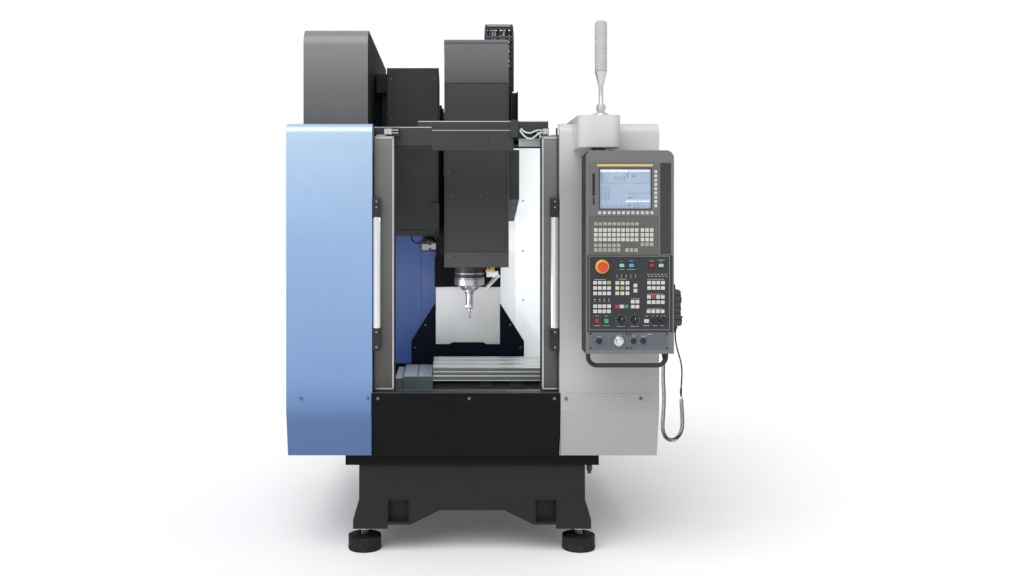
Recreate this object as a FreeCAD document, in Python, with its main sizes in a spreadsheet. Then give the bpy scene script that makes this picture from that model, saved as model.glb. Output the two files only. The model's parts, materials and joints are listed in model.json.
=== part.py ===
"""Compact vertical machining centre, in millimetres.

+X is to the operator's right, +Y towards the rear and +Z up. The origin is on the floor, at
the centre of the four floor anchors. The spindle's axis is on X = 0.
"""
import FreeCAD, Part
import os
import re
import Sketcher

DRIVING = {
    # cabinet
    "cabinet_wide": 1600, "cabinet_top": 1881, "front_depth": 840, "rear_depth": 730,
    "sheet": 3, "seam": 4, "corner_round": 43, "pan_deep": 105, "fold": 43,
    "opening_left": 431, "opening_right": 373, "sill_top": 723, "bend_top": 650,
    "skirt_bottom": 441, "skirt_tuck": 55, "flange_lap": 15, "roof_inner": 440, "rear_inner": 400,
    # bed and feet
    "bed_half": 496, "foot_half": 523, "flange_half": 554, "bed_ahead": 730, "flange_ahead": 20,
    "foot_bottom": 108.5, "foot_high": 148, "side_high": 240, "flange_bottom": 394,
    "arch_half": 143, "arch_top": 190, "leg_inner": 371, "step_inner": 270, "step_bottom": 127,
    "bed_wall": 40, "bed_roof": 361, "cavity_half": 440, "window_near": 279, "window_far": 368,
    "window_bottom": 139, "window_top": 236, "way_half": 240, "way_top": 520, "way_ahead": 600,
    "anchor_side": 477, "anchor_ahead": 650, "pad_radius": 73, "pad_high": 62,
    "bolt_radius": 15, "nut_high": 24, "nut_across": 46, "anchor_hole": 10, "anchor_deep": 25,
    # column
    "column_half": 230, "column_front": 330, "column_deep": 370, "column_top": 2000,
    "column_wall": 40, "rail_wide": 35, "rail_high": 25, "z_rail_side": 112, "y_rail_side": 188,
    # table, saddle and screws
    "spindle_ahead": 190, "table_long": 650, "table_deep": 400, "table_top": 764,
    "table_thick": 60, "table_offset": 148, "slot_wide": 14, "slot_deep": 25, "slot_foot": 24,
    "slot_foot_high": 11, "slot_pitch": 125, "saddle_half": 361, "saddle_top": 660,
    "saddle_bottom": 560, "x_rail_side": 130, "screw_radius": 12, "bearing_gap": 0.05,
    "gap": 0.3, "bearing_long": 30,
    "apron_half": 297, "apron_shoulder": 816, "apron_neck": 171, "apron_slope_top": 1014,
    "apron_top": 1130,
    # doors
    "door_wide": 447, "door_thick": 35, "door_back": 60, "door_top": 1830, "stile": 95,
    "rail_tall": 90, "pane_thick": 6, "handle_radius": 16.5, "handle_low": 1001,
    "handle_top": 1478, "bracket_top": 1561, "bracket_low": 904, "handle_out": 43,
    "left_door_edge": 339, "right_door_edge": 301, "handle_in": 74, "handle_in_right": 52,
    # spindle head
    "nose_top": 1172, "ring_bottom": 1143, "nose_tip": 1117, "ring_radius": 72,
    "housing_radius": 70, "shaft_radius": 40, "draw_radius": 25, "head_bottom": 1350,
    "head_top": 1700, "head_left": 120, "head_right": 105, "plate_half": 145,
    "plate_bottom": 1230, "plate_top": 1690, "motor_top": 2000, "holder_radius": 23,
    "body_radius": 18, "nut_radius": 20.5, "shank_radius": 14, "drill_radius": 6,
    "drill_tip": 975, "cover_front": 405, "cover_right": 180, "cover_bottom": 1241,
    "cover_top": 2308, "cover_back": 130, "side_cover_right": 239, "side_cover_top": 1800,
    "side_cover_bottom": 1452, "shield_half": 170, "shield_bottom": 799, "shield_top": 1102,
    "shield_y": 232,
    # drag chain
    "chain_left": 93, "chain_wide": 145, "chain_radius": 122.5, "chain_thick": 45,
    "chain_centre": 2378, "chain_axis": 262.5, "chain_leg": 250, "chain_wall": 6,
    "chain_gap": 0.3, "chain_rise": 139, "chain_fall": 102,
    # tool changer
    "magazine_left": 753, "magazine_right": 464, "magazine_top": 2324, "magazine_front": 640,
    "magazine_round": 78, "magazine_long": 1400, "changer_left": 400, "changer_right": 150,
    "changer_bottom": 1384, "changer_top": 2194, "changer_front": 280, "arm_side": 200,
    "arm_reach": 200, "arm_top": 1360, "arm_thick": 45, "disc_radius": 205,
    "pot_circle": 165, "pot_radius": 24, "disc_height": 2102,
    # electrical cabinet at the rear
    "electric_half": 480, "electric_deep": 250, "electric_bottom": 500, "electric_top": 1850,
    "isolator_side": 290, "isolator_height": 1600, "isolator_radius": 30, "isolator_deep": 34,
    "latch_radius": 16, "latch_high": 9, "latch_y": 222,
    # operator panel
    "panel_left": 452, "panel_right": 809, "panel_bottom": 926, "panel_top": 1750,
    "panel_out": 250, "panel_thick": 130, "panel_round": 31, "pivot_side": 526,
    "pivot_out": 90, "arm_left": 430, "arm_right": 608, "arm_bottom": 1766, "arm_high": 135,
    "screen_left": 509, "screen_wide": 206, "screen_bottom": 1514, "screen_high": 161,
    "key_high": 2.5, "lamp_side": 541, "lamp_top": 2307, "lamp_radius": 26,
    "bar_radius": 9, "bar_drop": 51, "bar_left": 13, "bar_right": 26, "bar_bend": 36,
    "stop_side": 518, "stop_height": 1279, "stop_radius": 20, "start_side": 534,
    "button_height": 1060, "button_wide": 22, "feed_side": 595, "speed_side": 649,
    "knob_height": 1064, "knob_radius": 14, "wheel_box_right": 839, "wheel_box_bottom": 1037,
    "wheel_box_top": 1184, "wheel_radius": 22, "dial_height": 1055,
    "cord_radius": 8.5, "lead_radius": 3,
}

doc = FreeCAD.newDocument("machining_centre")
sizes = doc.addObject("Spreadsheet::Sheet", "Sizes")
for row, (alias, number) in enumerate(DRIVING.items(), 1):
    sizes.set(f"A{row}", alias)
    sizes.set(f"B{row}", str(number))
    sizes.setAlias(f"B{row}", alias)
doc.recompute()

V = FreeCAD.Vector
nodes = []
AXES = "xyz"

# places that several pieces share, worked out from the driving sizes
FRONT = "-front_depth"
INSIDE = "(cabinet_wide / 2 - sheet)"
PAN_BACK = "(pan_deep - front_depth)"
SPINDLE_Y = "-spindle_ahead"
DOOR_FRONT = "(door_back - front_depth)"
DOOR_BACK = "(door_back + door_thick - front_depth)"
DOOR_LOW = "(sill_top + gap)"
GUARD = "(cabinet_wide / 2 - 12)"
REAR_WALL = "(column_front - sheet)"
TABLE_LEFT = "(table_offset - table_long / 2)"
TABLE_RIGHT = "(table_offset + table_long / 2)"
TABLE_FRONT = "(-spindle_ahead - table_deep / 2)"
TABLE_BACK = "(-spindle_ahead + table_deep / 2)"
TABLE_LOW = "(table_top - table_thick)"
X_RAIL_TOP = "(saddle_top + rail_high)"
X_SCREW_Z = "(saddle_top + 16)"
Y_SCREW_Z = "(way_top + 19)"
Z_SCREW_Y = "(column_front - 34)"
PANEL_FACE = "(-front_depth - panel_out)"
PANEL_BACK = "(-front_depth - panel_out + panel_thick)"
PIVOT_Y = "(-front_depth - pivot_out)"
FOOT_BACK = "(flange_lap - bed_ahead - flange_ahead)"


def sized(text):
    """The expression with every size name turned into its cell of the sheet."""
    def cell(match):
        return "Sizes." + match.group() if match.group() in DRIVING else match.group()
    return re.sub(r"[a-z_]+", cell, str(text))


def value(text):
    """The number that an expression has now."""
    return float(sizes.evalExpression(sized(text)))


def box(x, y, z):
    """A box between three pairs of expressions."""
    solid = doc.addObject("Part::Box", "Box")
    for size, axis, (low, high) in zip(("Length", "Width", "Height"), AXES, (x, y, z)):
        solid.setExpression(size, sized(f"({high}) - ({low})"))
        solid.setExpression(f"Placement.Base.{axis}", sized(low))
    return solid


TURN = {"x": (V(0, 1, 0), 90), "y": (V(1, 0, 0), -90), "z": (V(0, 0, 1), 0)}


def rod(axis, radius, centre, low, high):
    """A cylinder along an axis; centre holds its two other coordinates, in X, Y, Z order."""
    solid = doc.addObject("Part::Cylinder", "Rod")
    solid.setExpression("Radius", sized(radius))
    solid.setExpression("Height", sized(f"({high}) - ({low})"))
    solid.Placement = FreeCAD.Placement(V(), FreeCAD.Rotation(*TURN[axis]))
    place = dict(zip([name for name in AXES if name != axis], centre))
    place[axis] = low
    for name, where in place.items():
        solid.setExpression(f"Placement.Base.{name}", sized(where))
    return solid


def fuse(*shapes):
    joined = doc.addObject("Part::MultiFuse", "Fuse")
    joined.Shapes = list(shapes)
    joined.Refine = True
    return joined


def group(*shapes):
    several = doc.addObject("Part::Compound", "Group")
    several.Links = list(shapes)
    return several


def cut(base, *tools):
    """The base less all the tools."""
    result = doc.addObject("Part::Cut", "Cut")
    result.Base = base
    result.Tool = tools[0] if len(tools) == 1 else fuse(*tools)
    return result


ROLE = {"x": "YZ_Plane", "y": "XZ_Plane", "z": "XY_Plane"}


def sketched(body, axis, points):
    """A closed outline whose corners are pairs of expressions, on the plane across an axis."""
    plane = [item for item in body.Origin.OriginFeatures if item.Role == ROLE[axis]][0]
    outline = body.newObject("Sketcher::SketchObject", "Outline")
    outline.AttachmentSupport = [(plane, "")]
    outline.MapMode = "FlatFace"
    corners = [V(value(across), value(up), 0) for across, up in points]
    last = len(corners)
    for index, corner in enumerate(corners):
        outline.addGeometry(Part.LineSegment(corner, corners[(index + 1) % last]), False)
    for index in range(last):
        outline.addConstraint(Sketcher.Constraint("Coincident", index, 2, (index + 1) % last, 1))
    for index, (corner, names) in enumerate(zip(corners, points)):
        for kind, number, name in zip(("DistanceX", "DistanceY"), corner, names):
            held = outline.addConstraint(Sketcher.Constraint(kind, index, 1, number))
            outline.setExpression(f"Constraints[{held}]", sized(name))
    return outline


def prism(axis, points, low, high):
    """An outline across an axis, padded from low to high along it."""
    body = doc.addObject("PartDesign::Body", "Prism")
    pad = body.newObject("PartDesign::Pad", "Pad")
    pad.Profile = sketched(body, axis, points)
    pad.setExpression("Length", sized(f"({high}) - ({low})"))
    # the XZ plane's normal points to -Y
    pad.Reversed = axis == "y"
    body.setExpression(f"Placement.Base.{axis}", sized(low))
    return body


def turned(points, x, y):
    """An outline of radius and height pairs, turned about a vertical axis."""
    body = doc.addObject("PartDesign::Body", "Turned")
    outline = sketched(body, "y", points)
    revolution = body.newObject("PartDesign::Revolution", "Revolution")
    revolution.Profile = outline
    revolution.ReferenceAxis = (outline, ["V_Axis"])
    body.setExpression("Placement.Base.x", sized(x))
    body.setExpression("Placement.Base.y", sized(y))
    return body


def rounded(x, y, z, radius, axis, corners):
    """A box with round edges along an axis; corners name them by the signs of the other two."""
    spans = dict(zip(AXES, (x, y, z)))
    first, second = [name for name in AXES if name != axis]
    solid = box(x, y, z)
    for corner in corners:
        block = dict(spans)
        centre = []
        for name, sign in zip((first, second), corner):
            low, high = spans[name]
            inner = f"{low} + {radius}" if sign < 0 else f"{high} - {radius}"
            block[name] = (f"{low} - 1", inner) if sign < 0 else (inner, f"{high} + 1")
            centre.append(inner)
        block[axis] = (f"{spans[axis][0]} - 1", f"{spans[axis][1]} + 1")
        bar = rod(axis, radius, centre, f"{spans[axis][0]} - 2", f"{spans[axis][1]} + 2")
        solid = cut(solid, cut(box(*(block[name] for name in AXES)), bar))
    return solid


def across(side, near, far):
    """A span from near to far on the right (1), or its mirror image on the left (-1)."""
    return (near, far) if side > 0 else (f"-({far})", f"-({near})")


def around(middle, half):
    return f"{middle} - {half}", f"{middle} + {half}"


def node(label, solid):
    """Names a finished sub-part."""
    solid.Label = label
    nodes.append(solid)


SIDES = (-1, 1)


def bed():
    """Cast bed: a hollow box on four feet, arched at its ends, with two raised Y ways."""
    right = [("arch_half", "arch_top"), ("step_inner", "step_bottom"),
             ("leg_inner", "step_bottom"), ("leg_inner", "foot_bottom"),
             ("foot_half", "foot_bottom"), ("foot_half", "foot_high"),
             ("bed_half", "side_high"), ("bed_half", "flange_bottom"),
             ("bed_half", "skirt_bottom")]
    left = [(f"-{x}", z) for x, z in reversed(right)]
    casting = prism("y", right + left, "-bed_ahead", "bed_ahead")
    flange = box(("-flange_half", "flange_half"), ("-bed_ahead - flange_ahead", "bed_ahead"),
                 ("flange_bottom", "skirt_bottom"))
    way = box(("-way_half", "way_half"), ("-way_ahead", "shield_y + 20"),
              ("skirt_bottom - 1", "way_top"))
    posts = [box(around(0, "32"), span, ("way_top - 1", "way_top + 38"))
             for span in (("-way_ahead", "-way_ahead + bearing_long"),
                          ("shield_y - 10", "shield_y - 10 + bearing_long"))]
    bores = [rod("y", "screw_radius + bearing_gap", (0, Y_SCREW_Z), "-way_ahead - 1",
                 "shield_y + 30")]
    hollow = box(("-cavity_half", "cavity_half"), ("-bed_ahead + bed_wall", "bed_ahead - bed_wall"),
                 (0, "bed_roof"))
    windows = [box(across(side, "window_near", "window_far"), ("-bed_ahead - 1", "bed_ahead + 1"),
                   ("window_bottom", "window_top")) for side in SIDES]
    sockets = [rod("z", "bolt_radius + gap", (f"{sx} * anchor_side", f"{sy} * anchor_ahead"),
                   "foot_bottom - 1", "foot_bottom + 62") for sx in SIDES for sy in SIDES]
    node("bed", cut(fuse(casting, flange, way, *posts), hollow, *windows, *sockets, *bores))


def levelling_feet():
    """Four cast pads with a blind dowel hole, each under a levelling bolt and its nut."""
    pieces = []
    for side_x in SIDES:
        for side_y in SIDES:
            centre = (f"{side_x} * anchor_side", f"{side_y} * anchor_ahead")
            pad = rod("z", "pad_radius", centre, 0, "pad_high")
            pieces.append(cut(pad, rod("z", "anchor_hole", centre, -1, "anchor_deep")))
            bolt = rod("z", "bolt_radius", centre, "pad_high", "foot_bottom + 60")
            nut = rod("z", "nut_across / 2", centre, "foot_bottom - nut_high", "foot_bottom")
            pieces.append(fuse(bolt, nut))
    node("levelling_feet", group(*pieces))


def column():
    """Hollow cast column, with the two bearing blocks of the Z screw on its front."""
    casting = box(("-column_half", "column_half"),
                  ("column_front", "column_front + column_deep"), ("skirt_bottom", "column_top"))
    hollow = box(("-column_half + column_wall", "column_half - column_wall"),
                 ("column_front + column_wall", "column_front + column_deep - column_wall"),
                 ("skirt_bottom - 1", "column_top - column_wall"))
    blocks = [box(around(0, 32), ("column_front - 56", "column_front + 1"), span)
              for span in ((970, "970 + bearing_long"),
                           ("column_top - bearing_long", "column_top"))]
    bore = rod("z", "screw_radius + bearing_gap", (0, Z_SCREW_Y), 900, "column_top + 1")
    node("column", cut(fuse(casting, *blocks), hollow, bore))


def fixed_rails():
    """Profiled rails: two on the column for Z and two on the bed for Y."""
    rails = []
    for side in SIDES:
        rails.append(box(around(f"{side} * z_rail_side", "rail_wide / 2"),
                         ("column_front - rail_high", "column_front"), (980, "column_top - 10")))
        rails.append(box(around(f"{side} * y_rail_side", "rail_wide / 2"),
                         ("-way_ahead + 5", "shield_y - 4"), ("way_top", "way_top + rail_high")))
    node("fixed_rails", group(*rails))


def axis_motors():
    """Servo motors of Y, on the bed's rear bearing, and Z, on top of the column."""
    y_motor = rounded(around(0, 38), ("shield_y + 20", "column_front - 8"),
                      ("way_top - 1", "way_top + 70"), "6", "y", [(-1, 1), (1, 1)])
    z_motor = rounded(around(0, 45), ("column_front - 80", "column_front + 12"),
                      ("column_top", "column_top + 110"), "8", "z",
                      [(-1, -1), (1, -1), (-1, 1), (1, 1)])
    node("axis_motors", group(y_motor, z_motor))


def front_panels():
    """Folded front pans of the cabinet, beside the door opening."""
    for label, side, edge in (("left_front_panel", -1, "opening_left"),
                              ("right_front_panel", 1, "opening_right")):
        spans = [across(side, edge, "cabinet_wide / 2"), (FRONT, PAN_BACK),
                 ("sill_top", "cabinet_top")]
        inner = [across(side, f"{edge} + sheet", INSIDE), (f"{FRONT} + sheet", f"{PAN_BACK} + 9"),
                 ("sill_top + sheet", "cabinet_top - sheet")]
        trim = box(across(side, f"{edge} - 1", f"{edge} + 9"),
                   (f"{FRONT} + fold", f"{PAN_BACK} + 9"),
                   ("sill_top - 1", "cabinet_top - sheet"))
        base = box(across(side, f"{edge} - 1", INSIDE), (f"{FRONT} + fold", f"{PAN_BACK} + 9"),
                   ("sill_top - 1", "sill_top + sheet + 1"))
        pan = rounded(*spans, "corner_round", "x", [(-1, 1)])
        hollow = rounded(*inner, "(corner_round - sheet)", "x", [(-1, 1)])
        node(label, cut(pan, hollow, trim, base))


def lower_panels():
    """Skirts under the sill: upright, then folded inwards to the bed's flange."""
    back = f"{FRONT} + skirt_tuck"
    for label, low, high, side, lift in (
            ("left_lower_panel", "-cabinet_wide / 2", "-opening_left - seam", -1, "sheet"),
            ("centre_lower_panel", "-opening_left", "opening_right", 0, "0"),
            ("right_lower_panel", "opening_right + seam", "cabinet_wide / 2", 1, "sheet")):
        foot = f"skirt_bottom + {lift}"
        skin = prism("x", [
            (FRONT, "sill_top"), (FRONT, "bend_top"), (back, foot),
            (FOOT_BACK, foot), (FOOT_BACK, f"{foot} + sheet"),
            (f"{back} + sheet", f"{foot} + sheet"), (f"{FRONT} + sheet", "bend_top"),
            (f"{FRONT} + sheet", "sill_top - sheet"), (f"{FRONT} + fold", "sill_top - sheet"),
            (f"{FRONT} + fold", "sill_top")], low, high)
        if side:
            end = prism("x", [
                (FRONT, "sill_top"), (FRONT, "bend_top"), (back, foot), (PAN_BACK, foot),
                (PAN_BACK, "sill_top")], *across(side, INSIDE, "cabinet_wide / 2"))
            skin = fuse(skin, end)
        node(label, skin)


LATCH_HEIGHTS = (800, 1180, 1560)


def side_panels():
    """Side skins with a folded foot on the bed, roof and rear strips, and their latches."""
    pieces = []
    for side in SIDES:
        span = (PAN_BACK, "rear_depth")
        outer = "cabinet_wide / 2"
        foot = box(across(side, "flange_half - 54", outer), span,
                   ("skirt_bottom", "skirt_bottom + sheet"))
        skin = box(across(side, INSIDE, outer), span, ("skirt_bottom", "cabinet_top"))
        roof = box(across(side, "roof_inner", outer), span,
                   ("cabinet_top - sheet", "cabinet_top"))
        rear = box(across(side, "rear_inner", outer), ("rear_depth - sheet", "rear_depth"),
                   ("skirt_bottom", "cabinet_top"))
        latches = [rod("x", "latch_radius", ("latch_y", height),
                       *across(side, f"{outer} - 1", f"{outer} + latch_high"))
                   for height in LATCH_HEIGHTS]
        pieces.append(fuse(foot, skin, roof, rear, *latches))
    node("side_panels", group(*pieces))


def inner_guards():
    """Work-area guards: a side wall and half of the rear wall, folded from one sheet."""
    for label, side in (("left_inner_guard", -1), ("right_inner_guard", 1)):
        tall = ("sill_top - 40", "cabinet_top - sheet")
        wall = box(across(side, GUARD, f"{GUARD} + sheet"), (PAN_BACK, "column_front"), tall)
        rear = box(across(side, "shield_half + 1", f"{GUARD} + sheet"),
                   (REAR_WALL, "column_front"), tall)
        node(label, fuse(wall, rear))


def column_apron():
    """Box-shaped apron over the foot of the column, with sloped shoulders."""
    front = "shield_y + 8"

    def outline(inset, low, high):
        edge = [(f"apron_half - {inset}", low), (f"apron_half - {inset}", "apron_shoulder"),
                (f"apron_neck - {inset}", "apron_slope_top"), (f"apron_neck - {inset}", high)]
        return edge + [(f"-({x})", z) for x, z in reversed(edge)]

    hollow = outline("sheet", "sill_top - 126", "apron_top + 3")
    shell = prism("y", outline("0", "sill_top - 123", "apron_top"), front, REAR_WALL)
    node("column_apron", cut(shell, prism("y", hollow, f"{front} + sheet", "column_front")))


def chip_tray():
    """Sill under the doors with the tray behind it, which slopes to a slot over the bed."""
    deep = (PAN_BACK, REAR_WALL)
    pieces = [box((f"-{INSIDE}", INSIDE), (f"{FRONT} + fold", PAN_BACK),
                  ("sill_top - 33", "sill_top")),
              box((f"-{GUARD}", GUARD), (f"{PAN_BACK} - sheet", PAN_BACK),
                  ("skirt_bottom + 6", "sill_top"))]
    for side in SIDES:
        edge = [("saddle_half + 19", "skirt_bottom"), ("saddle_half + 22", "skirt_bottom"),
                ("saddle_half + 22", "sill_top - 163"), (f"{GUARD} + sheet", "sill_top - 43"),
                (f"{GUARD} + sheet", "sill_top - 40"), (GUARD, "sill_top - 40"),
                ("saddle_half + 19", "sill_top - 160")]
        points = edge if side > 0 else [(f"-({x})", z) for x, z in edge]
        pieces.append(prism("y", points, *deep))
    node("chip_tray", fuse(*pieces))


def door_header():
    """Beams over the door opening, with the guide rail behind and two interlock switches."""
    front = f"{PAN_BACK} + 20"
    back = f"{PAN_BACK} + 80"
    upper = box((-237, 336), (front, back), ("cabinet_top - 28", "cabinet_top + 20"))
    left = box(("-opening_left - 1", -178), (front, back), ("cabinet_top - 88", "cabinet_top - 6"))
    apron = box((-176, 183), (f"{front} + 1", f"{front} + 20"),
                ("cabinet_top - 109", "cabinet_top - 20"))
    rail = box((f"-{GUARD}", GUARD), (f"{front} + 15", f"{front} + 35"),
               ("cabinet_top - 99", "cabinet_top - 64"))
    stem = box((200, 300), (f"{front} + 20", f"{front} + 35"),
               ("cabinet_top - 70", "cabinet_top - 20"))
    switches = [box((low, high), (f"{front} - 30", f"{front} + 35"),
                    ("cabinet_top - 46", "cabinet_top - 13"))
                for low, high in ((-395, -320), (304, 336))]
    duct = box((170, 203), (f"{front} - 14", f"{front} + 2"),
               ("cabinet_top - 52", "cabinet_top + 24"))
    node("door_header", fuse(upper, left, apron, rail, stem, duct, *switches))


def doors():
    """Sliding doors, open at rest: a frame, its window, and a tube handle on two brackets."""
    for name, side, edge, inset in (("left", -1, "left_door_edge", "handle_in"),
                                    ("right", 1, "right_door_edge", "handle_in_right")):
        frame = box(across(side, edge, f"{edge} + door_wide"), (DOOR_FRONT, DOOR_BACK),
                    (DOOR_LOW, "door_top"))
        hole = (across(side, f"{edge} + stile", f"{edge} + door_wide - stile / 2"),
                (f"{DOOR_LOW} + rail_tall", "door_top - rail_tall"))
        window = box(hole[0], (f"{DOOR_FRONT} - 1", f"{DOOR_BACK} + 1"), hole[1])
        node(f"{name}_door_frame", cut(frame, window))
        middle = f"({DOOR_FRONT} + door_thick / 2)"
        node(f"{name}_door_window", box(hole[0], around(middle, "pane_thick / 2"), hole[1]))
        centre_x = f"{side} * ({edge} + {inset})"
        centre_y = f"({DOOR_FRONT} - handle_out)"
        tube = rod("z", "handle_radius", (centre_x, centre_y), "handle_low", "handle_top")
        ends = [rounded(around(centre_x, "handle_radius"),
                        (f"{centre_y} - handle_radius", DOOR_FRONT), span, "8", "x",
                        [(-1, sign)])
                for span, sign in ((("handle_top", "bracket_top"), 1),
                                   (("bracket_low", "handle_low"), -1))]
        node(f"{name}_door_handle", group(tube, *ends))


def saddle():
    """Saddle casting on four Y carriages, with its X rails and the X screw's bearing blocks."""
    casting = box(("-saddle_half", "saddle_half"), (TABLE_FRONT, TABLE_BACK),
                  ("saddle_bottom", "saddle_top"))
    carriages = [box(around(f"{side} * y_rail_side", 32), around(where, 40),
                     ("way_top + 6", "saddle_bottom + 1"))
                 for side in SIDES for where in (f"({TABLE_FRONT} + 60)", f"({TABLE_BACK} - 60)")]
    slots = [box(around(f"{side} * y_rail_side", "(rail_wide / 2 + gap)"),
                 (f"{TABLE_FRONT} - 1", f"{TABLE_BACK} + 1"),
                 ("way_top", "way_top + rail_high + gap")) for side in SIDES]
    nut = box(around(0, 28), around(SPINDLE_Y, 30), ("way_top + 2", "saddle_bottom + 1"))
    rails = [box(("-saddle_half", "saddle_half"),
                 around(f"(-spindle_ahead + {side} * x_rail_side)", "rail_wide / 2"),
                 ("saddle_top - 1", X_RAIL_TOP)) for side in SIDES]
    blocks = [box(across(side, "saddle_half - bearing_long", "saddle_half"),
                  around(SPINDLE_Y, 25), ("saddle_top - 1", "saddle_top + 36"))
              for side in SIDES]
    y_bore = rod("y", "screw_radius + gap", (0, Y_SCREW_Z), TABLE_FRONT, TABLE_BACK)
    x_bore = rod("x", "screw_radius + bearing_gap", (SPINDLE_Y, X_SCREW_Z),
                 "-saddle_half - 1", "saddle_half + 1")
    node("saddle", cut(fuse(casting, *carriages, nut, *rails, *blocks), *slots, y_bore, x_bore))


def table():
    """Table with three T-slots, on four carriages and the X screw's nut."""
    slab = box((TABLE_LEFT, TABLE_RIGHT), (TABLE_FRONT, TABLE_BACK), (TABLE_LOW, "table_top"))
    tools = []
    for index in (-1, 0, 1):
        middle = f"(-spindle_ahead + {index} * slot_pitch)"
        run = (f"{TABLE_LEFT} - 1", f"{TABLE_RIGHT} + 1")
        tools.append(box(run, around(middle, "slot_wide / 2"),
                         ("table_top - slot_deep", "table_top + 1")))
        tools.append(box(run, around(middle, "slot_foot / 2"),
                         ("table_top - slot_deep", "table_top - slot_deep + slot_foot_high")))
    carriages = [box(around(f"(table_offset + {offset} * 75)", 30),
                     around(f"(-spindle_ahead + {side} * x_rail_side)", 31),
                     ("saddle_top + 6", f"{TABLE_LOW} + 1"))
                 for offset in SIDES for side in SIDES]
    slots = [box(("table_offset - 120", "table_offset + 120"),
                 around(f"(-spindle_ahead + {side} * x_rail_side)", "(rail_wide / 2 + gap)"),
                 ("saddle_top", f"{X_RAIL_TOP} + gap")) for side in SIDES]
    nut = box(around("table_offset", 30), around(SPINDLE_Y, 22),
              ("saddle_top + 1", f"{TABLE_LOW} + 1"))
    bore = rod("x", "screw_radius + gap", (SPINDLE_Y, X_SCREW_Z), "table_offset - 40",
               "table_offset + 40")
    node("table", cut(fuse(slab, *carriages, nut), *tools, *slots, bore))


def table_covers():
    """Stepped hoods over the X ways, one on each end of the table."""
    hoods = []
    for side, end in ((-1, TABLE_LEFT), (1, TABLE_RIGHT)):
        def out(reach):
            return f"{end} + {side} * {reach}"

        def span(near, far):
            return (out(near), out(far)) if side > 0 else (out(far), out(near))

        low = ("saddle_top + 38", "table_top - 40")
        first = box(span(0, 141), (f"{TABLE_FRONT} + 6", f"{TABLE_BACK} - 6"), low)
        second = box(span(140, 180), (f"{TABLE_FRONT} + 12", f"{TABLE_BACK} - 12"),
                     ("saddle_top + 38", "table_top - 50"))
        hollow = box(span(-1, 138), (f"{TABLE_FRONT} + 9", f"{TABLE_BACK} - 9"),
                     ("saddle_top", "table_top - 43"))
        hollow_end = box(span(130, 177), (f"{TABLE_FRONT} + 15", f"{TABLE_BACK} - 15"),
                         ("saddle_top", "table_top - 53"))
        hoods.append(cut(fuse(first, second), hollow, hollow_end))
    node("table_covers", group(*hoods))


def screws():
    """Ball screws of the three axes, each turning in its bearing blocks."""
    node("x_screw", rod("x", "screw_radius", (SPINDLE_Y, X_SCREW_Z), "-saddle_half + 2",
                        "saddle_half - 2"))
    node("y_screw", rod("y", "screw_radius", (0, Y_SCREW_Z), "-way_ahead + 2",
                        "shield_y + 20 - gap"))
    node("z_screw", rod("z", "screw_radius", (0, Z_SCREW_Y), 972, "column_top - gap"))


def head():
    """Head casting on its plate and Z carriages, bored for the spindle."""
    body = box(("-head_left", "head_right"), ("-cover_front + 115", "column_front - 80"),
               ("head_bottom", "head_top"))
    plate = box(around(0, "plate_half"), ("column_front - 81", "column_front - 50"),
                ("plate_bottom", "plate_top"))
    carriages = [box(around(f"{side} * z_rail_side", 30), ("column_front - 51", "column_front - 8"),
                     around(where, 45))
                 for side in SIDES for where in ("(plate_bottom + 60)", "(plate_top - 60)")]
    slots = [box(around(f"{side} * z_rail_side", "(rail_wide / 2 + gap)"),
                 ("column_front - rail_high - gap", "column_front"),
                 ("plate_bottom - 1", "plate_top + 1")) for side in SIDES]
    nut = box(around(0, 30), ("column_front - 51", "column_front - 12"), around(1460, 35))
    screw_bore = rod("z", "screw_radius + gap", (0, Z_SCREW_Y), "plate_bottom - 1",
                     "plate_top + 1")
    draw_bore = rod("z", "draw_radius + 1", (0, SPINDLE_Y), "head_bottom - 1", "head_top + 1")
    node("head_casting", cut(fuse(body, plate, *carriages, nut), *slots, screw_bore, draw_bore))
    quill = rod("z", "housing_radius", (0, SPINDLE_Y), "nose_top", "head_bottom")
    bore = rod("z", "shaft_radius + bearing_gap", (0, SPINDLE_Y), "nose_top - 1",
               "head_bottom + 1")
    node("spindle_housing", cut(quill, bore))
    node("spindle_motor", rounded(around(0, 90), around(SPINDLE_Y, 90),
                                  ("head_top", "motor_top"), "14", "z",
                                  [(-1, -1), (1, -1), (-1, 1), (1, 1)]))


def head_cover():
    """Sheet cover round the head, open below and behind, with a lower one at its right."""
    span = (("-head_left - sheet", "cover_right"), ("-cover_front", "cover_back"),
            ("cover_bottom", "cover_top"))
    shell = box(*span)
    inner = box(("-head_left", "cover_right - sheet"), ("-cover_front + sheet", "cover_back + 1"),
                ("cover_bottom - 1", "cover_top - sheet"))
    side = prism("x", [("-cover_front + 135", "side_cover_bottom + 110"),
                       ("-cover_front + 135", "side_cover_top"), ("cover_back", "side_cover_top"),
                       ("cover_back", "side_cover_bottom")], "cover_right", "side_cover_right")
    side_inner = prism("x", [
        ("-cover_front + 135 + sheet", "side_cover_bottom + 113"),
        ("-cover_front + 135 + sheet", "side_cover_top - sheet"),
        ("cover_back + 1", "side_cover_top - sheet"), ("cover_back + 1", "side_cover_bottom + 3")],
        "cover_right", "side_cover_right - sheet")
    node("head_cover", fuse(cut(shell, inner), cut(side, side_inner)))


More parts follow.
